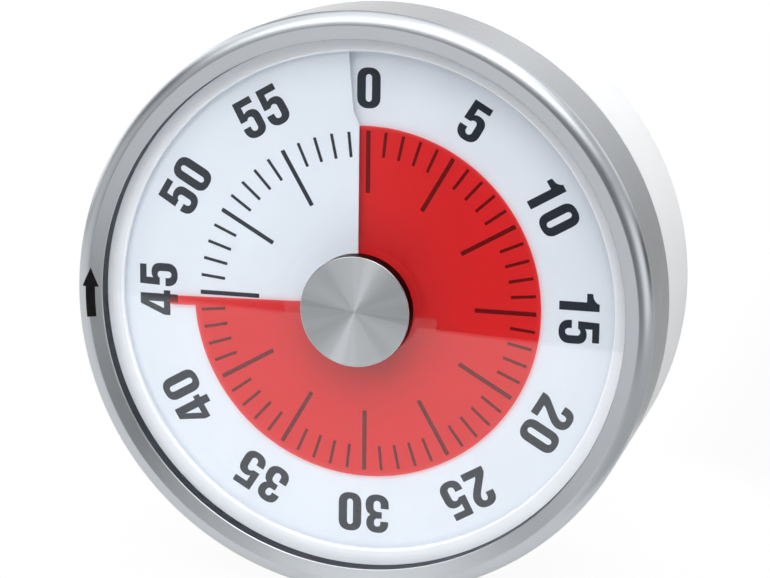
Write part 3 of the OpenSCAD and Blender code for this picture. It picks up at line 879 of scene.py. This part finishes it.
class Glyphs:
    """Bold narrow figures for the dial, drawn on a lower left corner of (0, 0), in millimetres."""

    HEIGHT = 5.5
    GAP = 0.6

    @staticmethod
    def zero() -> list[Outline]:
        """Draws a 0."""
        outer = arc((1.62, 1.55), (1.62, 1.55), 180, 360, 16, 2.4)
        outer += arc((1.62, 3.95), (1.62, 1.55), 0, 180, 16, 2.4)
        inner = arc((1.62, 1.35), (0.42, 0.45), 180, 360, 10)
        inner += arc((1.62, 4.15), (0.42, 0.45), 0, 180, 10)
        return [outer, inner]

    @staticmethod
    def one() -> list[Outline]:
        """Draws a 1."""
        flag = arc((0.1, 5.75), (1.35, 1.2), 290, 350, 6)
        outline = [(0.0, 3.72), (1.2, 3.72), (1.2, 0.0), (2.4, 0.0), (2.4, 5.45), (1.48, 5.45)]
        return [outline + flag[::-1] + [(0.0, 4.52)]]

    @staticmethod
    def two() -> list[Outline]:
        """Draws a 2."""
        outline = [(0.0, 0.0), (3.3, 0.0), (3.3, 1.05), (1.48, 1.05), (1.75, 1.5), (2.55, 2.5)]
        outline += [(3.0, 3.15), (3.22, 3.7)]
        outline += arc((1.66, 4.0), (1.6, 1.5), 0, 180, 18, 2.3)
        outline += [(0.06, 3.55), (1.22, 3.55)]
        outline += arc((1.66, 4.12), (0.44, 0.48), 180, 0, 10)
        outline += [(2.05, 3.8), (1.85, 3.4), (1.45, 2.85), (0.35, 1.4), (0.08, 0.95), (0.0, 0.6)]
        return [outline]

    @staticmethod
    def three() -> list[Outline]:
        """Draws a 3."""
        outline = [(0.0, 2.0)]
        outline += arc((1.65, 1.5), (1.65, 1.5), 180, 360, 18, 2.3)
        outline += [(3.25, 2.1), (3.05, 2.6), (2.62, 2.95), (2.98, 3.3), (3.15, 3.75)]
        outline += arc((1.62, 4.05), (1.57, 1.45), 0, 180, 18, 2.3)
        outline += [(0.06, 3.85), (1.18, 3.85)]
        outline += arc((1.63, 4.2), (0.45, 0.4), 180, 0, 10)
        outline += [(2.05, 3.75), (1.8, 3.45), (0.98, 3.42), (0.98, 2.5), (1.75, 2.47)]
        outline += [(2.1, 2.2), (2.17, 1.8)]
        outline += arc((1.65, 1.4), (0.5, 0.5), 0, -180, 10)
        return [outline + [(1.15, 2.0)]]

    @staticmethod
    def four() -> list[Outline]:
        """Draws a 4."""
        outer = [(1.5, 5.45), (3.0, 5.45), (3.0, 2.05), (3.5, 2.05), (3.5, 1.1), (3.0, 1.1)]
        outer += [(3.0, 0.0), (1.88, 0.0), (1.88, 1.1), (0.0, 1.1), (0.0, 2.0)]
        return [outer, [(0.95, 2.05), (1.88, 2.05), (1.88, 4.25)]]

    @staticmethod
    def five() -> list[Outline]:
        """Draws a 5."""
        outline = [(0.1, 2.62), (0.22, 5.5), (2.98, 5.5), (2.98, 4.55), (1.16, 4.55), (1.14, 3.6)]
        outline += [(1.45, 3.76)]
        outline += arc((1.9, 2.5), (1.32, 1.32), 95, 0, 12, 2.3)
        outline += arc((1.61, 1.5), (1.61, 1.5), 360, 180, 18, 2.3)
        outline += [(0.0, 1.78), (1.13, 1.78)]
        outline += arc((1.61, 1.38), (0.48, 0.48), 180, 360, 10)
        outline += arc((1.61, 2.5), (0.48, 0.44), 0, 165, 10)
        return [outline + [(1.13, 2.62)]]

    @classmethod
    def number(cls, value: int) -> list[list[Outline]]:
        """Draws a number, centred on (0, 0).

        Args:
            value: The number.

        Returns:
            The shapes of its figures.
        """
        drawn = [cls.zero, cls.one, cls.two, cls.three, cls.four, cls.five]
        widths = [3.24, 2.4, 3.3, 3.3, 3.5, 3.22]
        shapes = []
        start = 0.0
        for figure in (int(c) for c in str(value)):
            shapes.append([[(x + start, y) for x, y in part] for part in drawn[figure]()])
            start += widths[figure] + cls.GAP + (0.7 if figure == 1 else 0.0)
        width = start - cls.GAP
        return [
            [[(x - width / 2, y - cls.HEIGHT / 2) for x, y in part] for part in shape]
            for shape in shapes
        ]


@dataclass
class Dial:
    """The white sheet, which starts under its own last stretch, and its print.

    Attributes:
        climb: Rise in one turn.
        thickness: The sheet's thickness.
        hole: Radius of the centre hole.
        film_radius: Radius of the film that lies on it.
        margin: How far past the film the slit stays straight.
        slit: Distance of the slit from the centre line.
        flares: Radius and slit distance where the slit opens out.
        edge_slit: Slit distance at the sheet's edge.
        overlap: Degrees of the first stretch that lie under the last one.
        last_turn: Dial angle past which print can lie on the first stretch.
        tick_end: Outer radius of the minute marks.
        tick_starts: Inner radius of the short and of the long marks.
        tick_widths: Width of the short and of the long marks.
        number_radius: Radius of the numbers' middle.
        number_shift: How far the ring of numbers lies off the centre.
        nudges: How far single numbers stand clockwise of their mark.
        ink: Height of the ink over the sheet.
        step: Degrees between the sheet's rows of points.
        radius: The sheet's radius.
        start: Height of the sheet's middle at twelve o'clock.
    """

    climb: float = 1.0 * MM
    thickness: float = 0.2 * MM
    hole: float = 5.2 * MM
    film_radius: float = 24.2 * MM
    margin: float = 0.3 * MM
    slit: float = 1.03 * MM
    flares: tuple[tuple[float, float], ...] = ((26.2 * MM, 1.83 * MM),)
    edge_slit: float = 2.68 * MM
    overlap: float = 4.0
    last_turn: float = 350.0
    tick_end: float = 23.5 * MM
    tick_starts: tuple[float, float] = (20.07 * MM, 15.06 * MM)
    tick_widths: tuple[float, float] = (0.42 * MM, 0.60 * MM)
    number_radius: float = 29.45 * MM
    number_shift: tuple[float, float] = (-0.15 * MM, -0.2 * MM)
    nudges: dict[int, float] = field(default_factory=lambda: {
        5: -0.17 * MM, 15: 0.1 * MM, 20: 0.3 * MM, 25: 0.1 * MM, 35: -0.15 * MM, 40: -0.5 * MM,
    })
    ink: float = 0.015 * MM
    step: float = 1.5
    radius: float = field(init=False)
    start: float = field(init=False)

    def __post_init__(self) -> None:
        """Reads the sheet's size from the frame."""
        _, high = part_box("dial_face")
        self.radius = high.x
        self.start = -high.y + self.thickness / 2 + self.climb * self._start_turn() / 360

    def _start_turn(self) -> float:
        """Returns how far before twelve o'clock the sheet starts."""
        return self._edge_turn(self.hole, self.slit) + self.overlap

    @staticmethod
    def _edge_turn(radius: float, offset: float) -> float:
        """Returns the angle before twelve at which a radius meets the slit."""
        return math.degrees(math.asin(offset / radius))

    def height(self, turn: float) -> float:
        """Height of the sheet's middle.

        Args:
            turn: Dial angle, below 0 or above 360 for the ends.

        Returns:
            The height.
        """
        return self.start + self.climb * turn / 360

    def slit_course(self) -> Outline:
        """Draws the slit from the hole outwards, as (radius, distance from the centre line)."""
        bend = self.film_radius + self.margin
        course = [(self.hole, self.slit), (bend, self.slit), *self.flares]
        return course + [(self.radius, self.edge_slit)]

    def slit_at(self, radius: float) -> float:
        """Distance of the slit from the centre line.

        Args:
            radius: Distance from the centre.

        Returns:
            The distance.
        """
        course = self.slit_course()
        for (start, near), (end, far) in zip(course, course[1:]):
            if radius < end:
                return near + (far - near) * max(0.0, (radius - start) / (end - start))
        return self.edge_slit

    def ink_height(self, x: float, y: float) -> float:
        """Height of the print.

        Args:
            x: Distance to the right of the centre.
            y: Distance above the centre.

        Returns:
            The height.
        """
        turn = math.degrees(math.atan2(x, y)) % 360
        if turn > self.last_turn and x > -self.slit_at(math.hypot(x, y)):
            turn -= 360
        return self.height(turn) + self.thickness / 2 + self.ink

    def build_sheet(self) -> bpy.types.Object:
        """Builds the sheet."""
        radii = [radius for radius, _ in self.slit_course()]
        turns = [self._edge_turn(radius, offset) for radius, offset in self.slit_course()]
        first = [(-t - self.overlap, r) for t, r in zip(turns, radii)]
        end = [(360.0 - t, r) for t, r in zip(turns, radii)]
        count = int((360.0 - max(turns) - 1.0) / self.step)
        middle = [[(i * self.step, r) for r in radii] for i in range(count + 1)]
        return sheet("dial_sheet", [first, *middle, end], self.height, self.thickness, Body.CASE)

    def build_ticks(self) -> bpy.types.Object:
        """Builds the sixty minute marks."""
        shapes = []
        for minute in range(60):
            long = minute % 5 == 0
            start, half = self.tick_starts[long], self.tick_widths[long] / 2
            angle = math.radians(6 * minute)
            c, s = math.cos(angle), math.sin(angle)
            corners = [(-half, start), (half, start), (half, self.tick_end), (-half, self.tick_end)]
            shapes.append([[(u * c + v * s, v * c - u * s) for u, v in corners]])
        return flat_print("minute_marks", shapes, self.ink_height, Body.CASE)

    def build_numbers(self) -> bpy.types.Object:
        """Builds the numbers, with their tops outwards."""
        shapes = []
        for value in range(0, 60, 5):
            angle = math.radians(6 * value)
            c, s = math.cos(angle), math.sin(angle)
            out = self.number_radius + self.number_shift[0] * s + self.number_shift[1] * c
            nudge = self.nudges.get(value, 0.0)
            for shape in Glyphs.number(value):
                placed = [[(u * MM + nudge, v * MM + out) for u, v in part] for part in shape]
                shapes.append([[(u * c + v * s, v * c - u * s) for u, v in p] for p in placed])
        return flat_print("dial_numbers", shapes, self.ink_height, Body.CASE)

    def build(self) -> None:
        """Builds and dresses the dial."""
        white = self.build_sheet()
        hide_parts("dial_face")
        DIAL_WHITE.dress(white)
        for piece in (self.build_ticks(), self.build_numbers()):
            PRINT_INK.dress(piece)


@dataclass
class Film:
    """The red film, whose leading edge ends in a pointer.

    Attributes:
        minutes: Minutes that it shows.
        thickness: Its thickness.
        hole: Radius of its centre hole.
        radius: Its radius.
        reach: Radius that the pointer reaches.
        pointer: Width of the pointer.
        profile: The pointer's end, as shares of its width, back from its lead, and of its reach.
        span: Degrees that it covers.
        step: Degrees between its rows of points.
    """

    minutes: float = 44.75
    thickness: float = 0.2 * MM
    hole: float = 4.3 * MM
    radius: float = 24.2 * MM
    reach: float = 28.2 * MM
    pointer: float = 1.2 * MM
    profile: tuple[tuple[float, float], ...] = (
        (0.97, 0.2), (0.9, 0.8), (0.78, 0.95), (0.6, 1.0),
        (0.4, 1.0), (0.22, 0.95), (0.08, 0.82), (0.0, 0.62),
    )
    span: float = 357.0
    step: float = 1.5

    def build(self, dial: Dial) -> None:
        """Builds and dresses the film.

        Args:
            dial: The dial that it slides over.
        """
        lead = 6 * self.minutes
        width = math.degrees(self.pointer / self.radius)
        count = int((self.span - width - 1) / self.step)
        rows = [
            [(lead - self.span + i * self.step, r) for r in (self.hole, self.radius)]
            for i in range(count + 1)
        ]
        rows.append([(lead - width, self.hole), (lead - width, self.radius)])
        for share, out in self.profile:
            turn = lead - width * share
            rows.append([(turn, self.hole), (turn, self.radius + (self.reach - self.radius) * out)])
        piece = sheet(
            "film_sheet",
            rows,
            lambda turn: dial.height(turn) + dial.climb / 2,
            self.thickness,
            Body.FILM,
        )
        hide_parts("red_film")
        FILM_RED.dress(piece)


# ---------------------------------------------------------------- ring, window and knob


@dataclass
class SteelRing:
    """Spun steel ring with a rounded front edge and a lip that is turned in.

    Attributes:
        sheet: Thickness of the steel.
        front_round: Width and depth of the rounded front edge.
        dish: How far the face falls from the rounded edge to the lip.
        lip: Inner radius of the lip.
        lip_round: Radius of the lip's inner edge.
        turn_in: How far the lip reaches down to the window.
        back_round: Radius of the back edge.
        ink: Height of the arrow's print over the steel.
        arrow_turns: Dial angles of the arrow's tail, neck and tip.
        arrow_middle: Radius of the arrow's middle.
        arrow_widths: Width of the arrow's shaft and of its head.
        steps: Number of stretches round the ring.
        radius: Outer radius.
        front: Height of its front.
        back: Height of its back edge.
    """

    sheet: float = 0.6 * MM
    front_round: tuple[float, float] = (1.9 * MM, 1.5 * MM)
    dish: float = 0.45 * MM
    lip: float = 36.25 * MM
    lip_round: float = 0.2 * MM
    turn_in: float = 2.5 * MM
    back_round: float = 0.15 * MM
    ink: float = 0.03 * MM
    arrow_turns: tuple[float, float, float] = (264.7, 271.1, 275.1)
    arrow_middle: float = 37.9 * MM
    arrow_widths: tuple[float, float] = (1.3 * MM, 2.3 * MM)
    steps: int = 288
    radius: float = field(init=False)
    front: float = field(init=False)
    back: float = field(init=False)

    def __post_init__(self) -> None:
        """Reads the ring's size from the frame."""
        low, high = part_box("bezel_ring")
        self.radius, self.front, self.back = high.x, -low.y, -high.y

    def outline(self) -> Outline:
        """Draws the ring's section."""
        inner = self.radius - self.sheet
        wide, deep = self.front_round
        round_at = (self.radius - wide, self.front - deep)
        lip_at = (self.lip + self.lip_round, self.front - self.dish - self.lip_round)
        foot = self.front - self.turn_in
        back = self.back_round
        points = arc((self.radius - back, self.back + back), back, -90, 0, 4)
        points += arc(round_at, (wide, deep), 0, 90, 24)
        points += arc(lip_at, self.lip_round, 90, 180, 10)
        points += [(self.lip, foot), (self.lip + self.sheet, foot)]
        points += [(self.lip + self.sheet, self.front - self.dish - self.sheet)]
        points += arc(round_at, (wide - self.sheet, deep - self.sheet), 90, 0, 10)
        return points + [(inner, self.back)]

    def surface(self, x: float, y: float) -> float:
        """Height of the ring's front, just over the steel.

        Args:
            x: Distance to the right of the centre.
            y: Distance above the centre.

        Returns:
            The height.
        """
        wide, deep = self.front_round
        past = math.hypot(x, y) - (self.radius - wide)
        if past > 0:
            drop = deep * (1 - math.sqrt(1 - (past / wide) ** 2))
        else:
            drop = -past * self.dish / (self.radius - wide - self.lip - self.lip_round)
        return self.front - drop + self.ink

    def build_arrow(self) -> bpy.types.Object:
        """Builds the printed arrow that shows which way the ring is turned."""
        tail, neck, tip = self.arrow_turns
        half, wing = (w / 2 for w in self.arrow_widths)
        steps = 18
        lanes = 14
        shapes = []
        for i in range(steps):
            a, b = (tail + (tip - tail) * k / steps for k in (i, i + 1))
            wide = [
                half if t <= neck - TINY else wing * (tip - t) / (tip - neck) for t in (a, b)
            ]
            if a < neck < b:
                shapes += self._strip(a, neck, half, half, lanes)
                shapes += self._strip(neck, b, wing, wide[1], lanes)
            else:
                shapes += self._strip(a, b, wide[0], wide[1], lanes)
        return flat_print("turn_arrow", shapes, self.surface, Body.RING)

    def _strip(
        self, a: float, b: float, near: float, far: float, lanes: int
    ) -> list[list[Outline]]:
        """Cuts a stretch of the arrow into lanes, so that it bends with the ring.

        Args:
            a: Dial angle where it starts.
            b: Dial angle where it ends.
            near: Half width at its start.
            far: Half width at its end.
            lanes: Number of lanes.

        Returns:
            The lanes' shapes.
        """
        shapes = []
        for k in range(lanes):
            low, high = (-1 + 2 * k / lanes, -1 + 2 * (k + 1) / lanes)
            corners = [(a, low * near), (b, low * far), (b, high * far), (a, high * near)]
            points = [at(turn, self.arrow_middle + off, 0.0)[:2] for turn, off in corners]
            if far < TINY:
                points.pop(1)
            shapes.append([points])
        return shapes

    def build(self) -> None:
        """Builds and dresses the ring."""
        ring = turned("steel_ring", self.outline(), Body.RING, self.steps)
        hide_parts("bezel_ring")
        RING_STEEL.dress(ring)
        # The lip's inner wall gets near-black painted shade.
        ring.data.materials.append(LIP_SHADE.material())
        # The outer wall gets the darker copy of the steel as painted shade.
        ring.data.materials.append(RING_SIDE_SHADE.material())
        for face in ring.data.polygons:
            radius = face.center.xy.length
            inside = radius < self.lip + 0.1 * MM
            deep = face.center.z < self.front - self.dish - self.lip_round / 2
            outside = radius > self.radius - 0.01 * MM
            side = outside and face.center.z < self.front - self.front_round[1]
            face.material_index = 1 if inside and deep else 2 if side else 0
        arrow = self.build_arrow()
        ARROW_INK.dress(arrow)


@dataclass
class Window:
    """Clear window with a raised centre that the knob stands on.

    Attributes:
        thickness: Thickness at its edge.
        step: Rise of the clear field over the edge.
        fillet: Radius at the foot of that step.
        view: Radius of the clear field.
        rise: Rise of the centre over the clear field.
        foot: Radius of the centre's foot.
        top: Radius of the centre's flat top.
        hole: Radius of the hole for the knob's stem.
        clearance: Air left between the window and the ring that it lies on.
        straight: Share of the slope up to the centre that is straight. The rest is soft.
        slope_steps: Number of stretches of that slope.
        radius: Outer radius.
        back: Height of its back.
    """

    thickness: float = 0.8 * MM
    step: float = 0.25 * MM
    fillet: float = 0.08 * MM
    view: float = 34.35 * MM
    rise: float = 0.7 * MM
    foot: float = 10.7 * MM
    top: float = 7.7 * MM
    hole: float = 3.55 * MM
    clearance: float = 0.02 * MM
    straight: float = 0.92
    slope_steps: int = 16
    radius: float = field(init=False)
    back: float = field(init=False)

    def __post_init__(self) -> None:
        """Reads the window's size from the frame."""
        _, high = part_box("window")
        self.radius, self.back = high.x, -high.y

    def outline(self) -> Outline:
        """Draws the window's section, with a soft slope up to the centre."""
        edge = self.back + self.thickness
        field_height = edge + self.step
        back = self.back + self.clearance
        points = [(self.hole, back), (self.radius, back), (self.radius, edge)]
        points += arc((self.view + self.fillet, edge + self.fillet), self.fillet, 270, 180, 4)
        points += [(self.view, field_height)]
        for i in range(self.slope_steps + 1):
            share = i / self.slope_steps
            radius = self.foot + (self.top - self.foot) * share
            soft = share - math.sin(2 * math.pi * share) / (2 * math.pi)
            lift = self.rise * (self.straight * share + (1 - self.straight) * soft)
            points.append((radius, field_height + lift))
        return points + [(self.hole, field_height + self.rise)]

    def build(self) -> None:
        """Builds and dresses the window."""
        window = turned("clear_window", self.outline(), Body.RING)
        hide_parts("window")
        WINDOW_CLEAR.dress(window)


@dataclass
class Carrier:
    """White ring behind the window, whose flange frames the dial.

    Attributes:
        view: Inner radius of its flange.
        flange: Thickness of its flange.
        wall: Thickness of its skirt.
        bead: Depth of its snap bead.
        bead_back: Height of the bead's back edge.
        bead_length: Length of the bead along the axis.
        edge: Radius of its flange's inner edge.
    """

    view: float = 34.35 * MM
    flange: float = 0.75 * MM
    wall: float = 1.6 * MM
    bead: float = 0.5 * MM
    bead_back: float = 20.1 * MM
    bead_length: float = 1.2 * MM
    edge: float = 0.3 * MM

    def build(self) -> None:
        """Builds and dresses the carrier."""
        low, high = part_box("window_carrier")
        outer, front, back = high.x, -low.y, -high.y
        inner = outer - self.wall
        flange_back = front - self.flange
        bead_front = self.bead_back + self.bead_length
        outline = [(inner, back), (outer, back), (outer, front)]
        outline += arc((self.view + self.edge, front - self.edge), self.edge, 90, 180, 6)
        outline += [(self.view, flange_back), (inner, flange_back), (inner, bead_front)]
        outline += [(inner - self.bead, bead_front - self.bead)]
        outline += [(inner - self.bead, self.bead_back + self.bead), (inner, self.bead_back)]
        piece = turned("carrier_ring", outline, Body.RING)
        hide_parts("window_carrier")
        # The flange gets painted light from the white moulding's emission.
        CARRIER_WHITE.dress(piece)


@dataclass
class Hub:
    """White bush that clamps window and film, and hides under the knob.

    Attributes:
        flange: Radius of its flange.
        flange_height: Thickness of its flange.
        sleeve: Radius of its sleeve.
        bore: Radius of its bore.
    """

    flange: float = 6.6 * MM
    flange_height: float = 0.4 * MM
    sleeve: float = 4 * MM
    bore: float = 1.55 * MM

    def build(self) -> None:
        """Builds and dresses the hub."""
        low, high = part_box("film_hub")
        front, back = -low.y, -high.y
        under = front - self.flange_height
        outline = [(self.bore, back), (self.sleeve, back), (self.sleeve, under)]
        outline += [(self.flange, under), (self.flange, front), (self.bore, front)]
        hub = turned("clamp_hub", outline, Body.RING)
        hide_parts("film_hub")
        # The hub shares the white moulding and its painted light.
        CARRIER_WHITE.dress(hub)


@dataclass
class Knob:
    """Steel cap with a turned face, over a dark core.

    Attributes:
        sheet: Thickness of the cap.
        bevel: Width of the bright edge round the face.
    """

    sheet: float = 0.4 * MM
    bevel: float = 0.13 * MM

    def build(self) -> None:
        """Builds and dresses the knob's cap."""
        low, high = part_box("knob_cap")
        radius, front, back = high.x, -low.y, -high.y
        inner = radius - self.sheet
        outline = [(0.0, front - self.sheet), (inner, front - self.sheet), (inner, back)]
        outline += [(radius, back)]
        outline += arc((radius - self.bevel, front - self.bevel), self.bevel, 0, 90, 6)
        outline += [(0.0, front)]
        cap = turned("knob_face", outline, Body.RING)
        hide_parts("knob_cap")
        KNOB_STEEL.dress(cap)
        # Slot 1, the side wall, carries painted shade and a painted red reflection.
        cap.data.materials.append(KNOB_SIDE.material())
        cap.data.materials.append(KNOB_EDGE.material())
        for face in cap.data.polygons:
            out = face.center.xy.length > radius - self.bevel
            below = face.center.z < front - self.bevel
            face.material_index = (1 if below else 2) if out else 0


# ---------------------------------------------------------------- parts kept from the frame


class Movement:
    """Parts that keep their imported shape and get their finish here."""

    FINISHES: dict[Finish, tuple[str, ...]] = {
        CASE_WHITE: ("case", "rear_cover"),
        # The dial carrier shares the white moulding and its painted light.
        CARRIER_WHITE: ("dial_carrier",),
        DARK_PLASTIC: ("knob_core",),
        MAGNET_GREY: ("magnets",),
        BRASS: ("main_wheel", "second_wheel", "third_wheel", "escape_wheel", "balance_wheel",
                "pillars"),
        PLATE_BRASS: ("rear_plate", "front_plate"),
        BRIGHT_STEEL: ("spindle", "clutch_spring", "trip_cam", "carrier_screws", "cover_screws",
                       "movement_screws", "spring_post", "second_arbor", "third_arbor",
                       "escape_arbor", "balance_staff", "pallet_anchor", "strike_arbor",
                       "cam_follower", "bell_screw"),
        DARK_STEEL: ("hammer",),
        SPRING_STEEL: ("mainspring",),
        BELL_STEEL: ("bell",),
    }

    def dress(self) -> None:
        """Gives each part its finish."""
        for finish, names in self.FINISHES.items():
            for name in names:
                finish.dress(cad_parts[name])


# ---------------------------------------------------------------- studio


@dataclass
class Lamp:
    """A soft box.

    Attributes:
        name: Its name.
        place: Where it hangs.
        size: Its width and height.
        power: Its power in watts.
    """

    name: str
    place: tuple[float, float, float]
    size: tuple[float, float]
    power: float

    def build(self, target: Vector) -> None:
        """Hangs the lamp.

        Args:
            target: The point that it faces.
        """
        data = bpy.data.lights.new(self.name, "AREA")
        data.shape = "RECTANGLE"
        data.size, data.size_y = self.size
        data.energy = self.power
        lamp = bpy.data.objects.new(self.name, data)
        bpy.context.scene.collection.objects.link(lamp)
        lamp.location = self.place
        lamp.rotation_euler = (target - lamp.location).to_track_quat("-Z", "Y").to_euler()


@dataclass(frozen=True)
class Patch:
    """A soft-edged field of light on the room's walls, as the timer sees it.

    Attributes:
        left: Its left edge, in degrees to the right of straight ahead.
        right: Its right edge.
        low: Its lower edge, in degrees over the horizon.
        high: Its upper edge.
        level: Its brightness.
        soft: Half the width of its soft edges, in degrees.
    """

    left: float
    right: float
    low: float
    high: float
    level: float
    soft: float = 5.0

    def light(self, turn: Signal, rise: Signal) -> Signal:
        """Works out the light that comes from a direction.

        Args:
            turn: The direction's degrees to the right of straight ahead.
            rise: Its degrees over the horizon.

        Returns:
            The patch's light, which is 0 outside it.
        """
        soft = self.soft
        across = turn.ramp(self.left - soft, self.left + soft)
        across = across * turn.ramp(self.right - soft, self.right + soft, 1.0, 0.0)
        up = rise.ramp(self.low - soft, self.low + soft)
        up = up * rise.ramp(self.high - soft, self.high + soft, self.level, 0.0)
        return across * up


@dataclass(frozen=True)
class Room:
    """The room round the timer.

    Attributes:
        patches: Its lit fields.
    """

    patches: tuple[Patch, ...] = (
        Patch(-30, 30, -95, -18, 0.9),
        Patch(-30, -16.5, -18, 20, 0.6),
        Patch(-12, 30, -18, 20, 0.12),
        Patch(-75, -30, -95, 12, 1.0),
        Patch(-135, -85, 0, 34, 2.0),
        Patch(30, 75, -95, 12, 1.8),
        Patch(-200, -130, -95, 12, 1.9),
        Patch(130, 200, -95, 12, 0.9),
        Patch(-45, -4, 20, 32, 5.0),
        Patch(10, 45, 20, 32, 2.8),
        Patch(-200, -120, 12, 32, 1.5),
        Patch(120, 200, 12, 32, 1.7),
        Patch(-120, -55, 34, 54, 1.9),
        Patch(-45, -2, 32, 54, 2.4),
        Patch(0, 18, 32, 60, 8.0),
        Patch(18, 45, 32, 54, 4.6),
        Patch(45, 120, 12, 54, 0.8),
        Patch(120, 200, 32, 54, 1.0),
        Patch(-200, 200, 54, 100, 1.75),
    )

    def level(self, x: Signal, y: Signal, z: Signal) -> Signal:
        """Works out the brightness in a direction.

        Args:
            x: The direction's part to the right.
            y: Its part to the back.
            z: Its part upwards.

        Returns:
            The brightness.
        """
        degrees = 180 / math.pi
        turn = x.graph.node("ShaderNodeMath", {"operation": "ARCTAN2"}, {0: x, 1: 0 - y}) * degrees
        rise = x.graph.node("ShaderNodeMath", {"operation": "ARCSINE"}, {0: z}) * degrees
        total = self.patches[0].light(turn, rise)
        for patch in self.patches[1:]:
            total = total + patch.light(turn, rise)
        return total


@dataclass
class Studio:
    """White sheet, soft light and camera.

    Attributes:
        camera_at: Where the camera stands.
        aim: The point in the middle of the image.
        roll: How far the camera leans to the left, in degrees.
        focal_pixels: Focal length in pixels of the image.
        sensor: Width of the camera's sensor in millimetres.
        sheet_front: Distance of the sheet's front edge, in front of the back face.
        sheet_skew: Slope of that edge.
        sheet_half: Half of the sheet's width.
        sheet_back: Distance of the sheet's back edge, behind the back face.
        paper: Lightness of the sheet.
        dim_paper: Its lightness in the zone of painted shade, a darker patch that the timer's right
            side mirrors.
        dim_right: Distances to the right between which that zone sets in.
        dim_out: Distances from the axis between which it sets in.
        seen_white: Share of plain white in the sheet as the camera sees it.
        mirrored_white: Share of plain white in the sheet as it is mirrored.
        mirrored_dim: How much of that share the zone of painted shade loses.
        lamps: The soft boxes.
        room: The light from all round.
    """

    camera_at: tuple[float, float, float] = (0.08743, -0.34515, 0.07561)
    aim: tuple[float, float, float] = (0.00267, -0.027, 0.00213)
    roll: float = 0.68
    focal_pixels: float = 2500.0
    sensor: float = 36.0
    sheet_front: float = 0.1757
    sheet_skew: float = 0.179
    sheet_half: float = 0.9
    sheet_back: float = 2.6
    paper: float = 0.82
    dim_paper: float = 0.4
    dim_right: tuple[float, float] = (0.02, 0.045)
    dim_out: tuple[float, float] = (0.052, 0.066)
    seen_white: float = 0.94
    mirrored_white: float = 0.7
    mirrored_dim: float = 0.52
    lamps: tuple[Lamp, ...] = (
        Lamp("right_box", (0.45, 0.0, 0.75), (0.4, 0.4), 0.35),
    )
    room: Room = Room()

    def build_camera(self) -> None:
        """Places the camera."""
        data = bpy.data.cameras.new("camera")
        data.sensor_width = self.sensor
        data.lens = self.focal_pixels / IMAGE_SIZE[0] * self.sensor
        data.clip_start = 0.01
        camera = bpy.data.objects.new("camera", data)
        bpy.context.scene.collection.objects.link(camera)
        look = (Vector(self.aim) - Vector(self.camera_at)).to_track_quat("-Z", "Y")
        lean = Matrix.Rotation(math.radians(self.roll), 4, "Z")
        camera.matrix_world = Matrix.Translation(self.camera_at) @ look.to_matrix().to_4x4() @ lean
        bpy.context.scene.camera = camera

    def build_floor(self) -> None:
        """Lays the white sheet that the timer stands on, with a patch of painted shade to its
        right.
        """
        ground = CAD_BOX[0][2]
        skew = self.sheet_skew * self.sheet_half
        corners = [
            (-self.sheet_half, -self.sheet_front - skew, ground),
            (self.sheet_half, -self.sheet_front + skew, ground),
            (self.sheet_half, self.sheet_back, ground),
            (-self.sheet_half, self.sheet_back, ground),
        ]
        data = bpy.data.meshes.new("floor")
        data.from_pydata(corners, [], [(0, 1, 2, 3)])
        floor = bpy.data.objects.new("floor", data)
        bpy.context.scene.collection.objects.link(floor)
        paper = bpy.data.materials.new("white_paper")
        paper.use_nodes = True
        graph = Graph(paper.node_tree)
        path = graph.node("ShaderNodeLightPath")
        seen = Signal(graph, path.socket.node.outputs["Is Camera Ray"])
        mirrored = Signal(graph, path.socket.node.outputs["Is Glossy Ray"])
        _, x, y, _ = graph.place()
        # Painted shade on the sheet: a darker zone to the right of the timer and near it, both in
        # its colour and in its mirrored white.
        dim = x.ramp(*self.dim_right) * ((x * x + y * y) ** 0.5).ramp(*self.dim_out)
        tone = graph.mix(dim, (self.paper,) * 3, (self.dim_paper,) * 3)
        matt = graph.node("ShaderNodeBsdfDiffuse", {}, {"Color": tone})
        white = graph.node("ShaderNodeEmission", {}, {"Color": (1.0, 1.0, 1.0, 1.0)})
        share = (self.mirrored_white - self.mirrored_dim * dim) * mirrored
        graph.surface(graph.blend(self.seen_white * seen + share, matt, white))
        data.materials.append(paper)

    def build_world(self) -> None:
        """Makes the surroundings: white to the camera, and the room's lit fields for the rest."""
        world = bpy.data.worlds.new("studio")
        bpy.context.scene.world = world
        world.use_nodes = True
        graph = Graph(world.node_tree)
        path = graph.node("ShaderNodeLightPath")
        seen = Signal(graph, path.socket.node.outputs["Is Camera Ray"])
        point = graph.node("ShaderNodeTexCoord", output="Generated")
        parts = graph.node("ShaderNodeSeparateXYZ", {}, {0: point})
        x, y, z = (Signal(graph, parts.socket.node.outputs[i]) for i in range(3))
        level = seen + (1 - seen) * self.room.level(x, y, z)
        lit = graph.node("ShaderNodeBackground", {}, {"Strength": level})
        graph.node("ShaderNodeOutputWorld", {}, {"Surface": lit})

    def build(self) -> None:
        """Builds the studio."""
        scene = bpy.context.scene
        scene.view_settings.view_transform = "Standard"
        self.build_camera()
        self.build_floor()
        self.build_world()
        for lamp in self.lamps:
            lamp.build(Vector(self.aim))


def main() -> None:
    """Builds every part in order."""
    logging.basicConfig(level=logging.INFO, format="%(name)s: %(message)s")
    dial = Dial()
    builders: list[tuple[str, Callable[[], None]]] = [
        ("movement and case", Movement().dress),
        ("dial and print", dial.build),
        ("red film", lambda: Film().build(dial)),
        ("carrier", Carrier().build),
        ("steel ring and arrow", SteelRing().build),
        ("window", Window().build),
        ("hub", Hub().build),
        ("knob", Knob().build),
        ("studio", Studio().build),
    ]
    for name, build in builders:
        build()
        LOG.info("built %s", name)


if __name__ == "__main__":
    main()
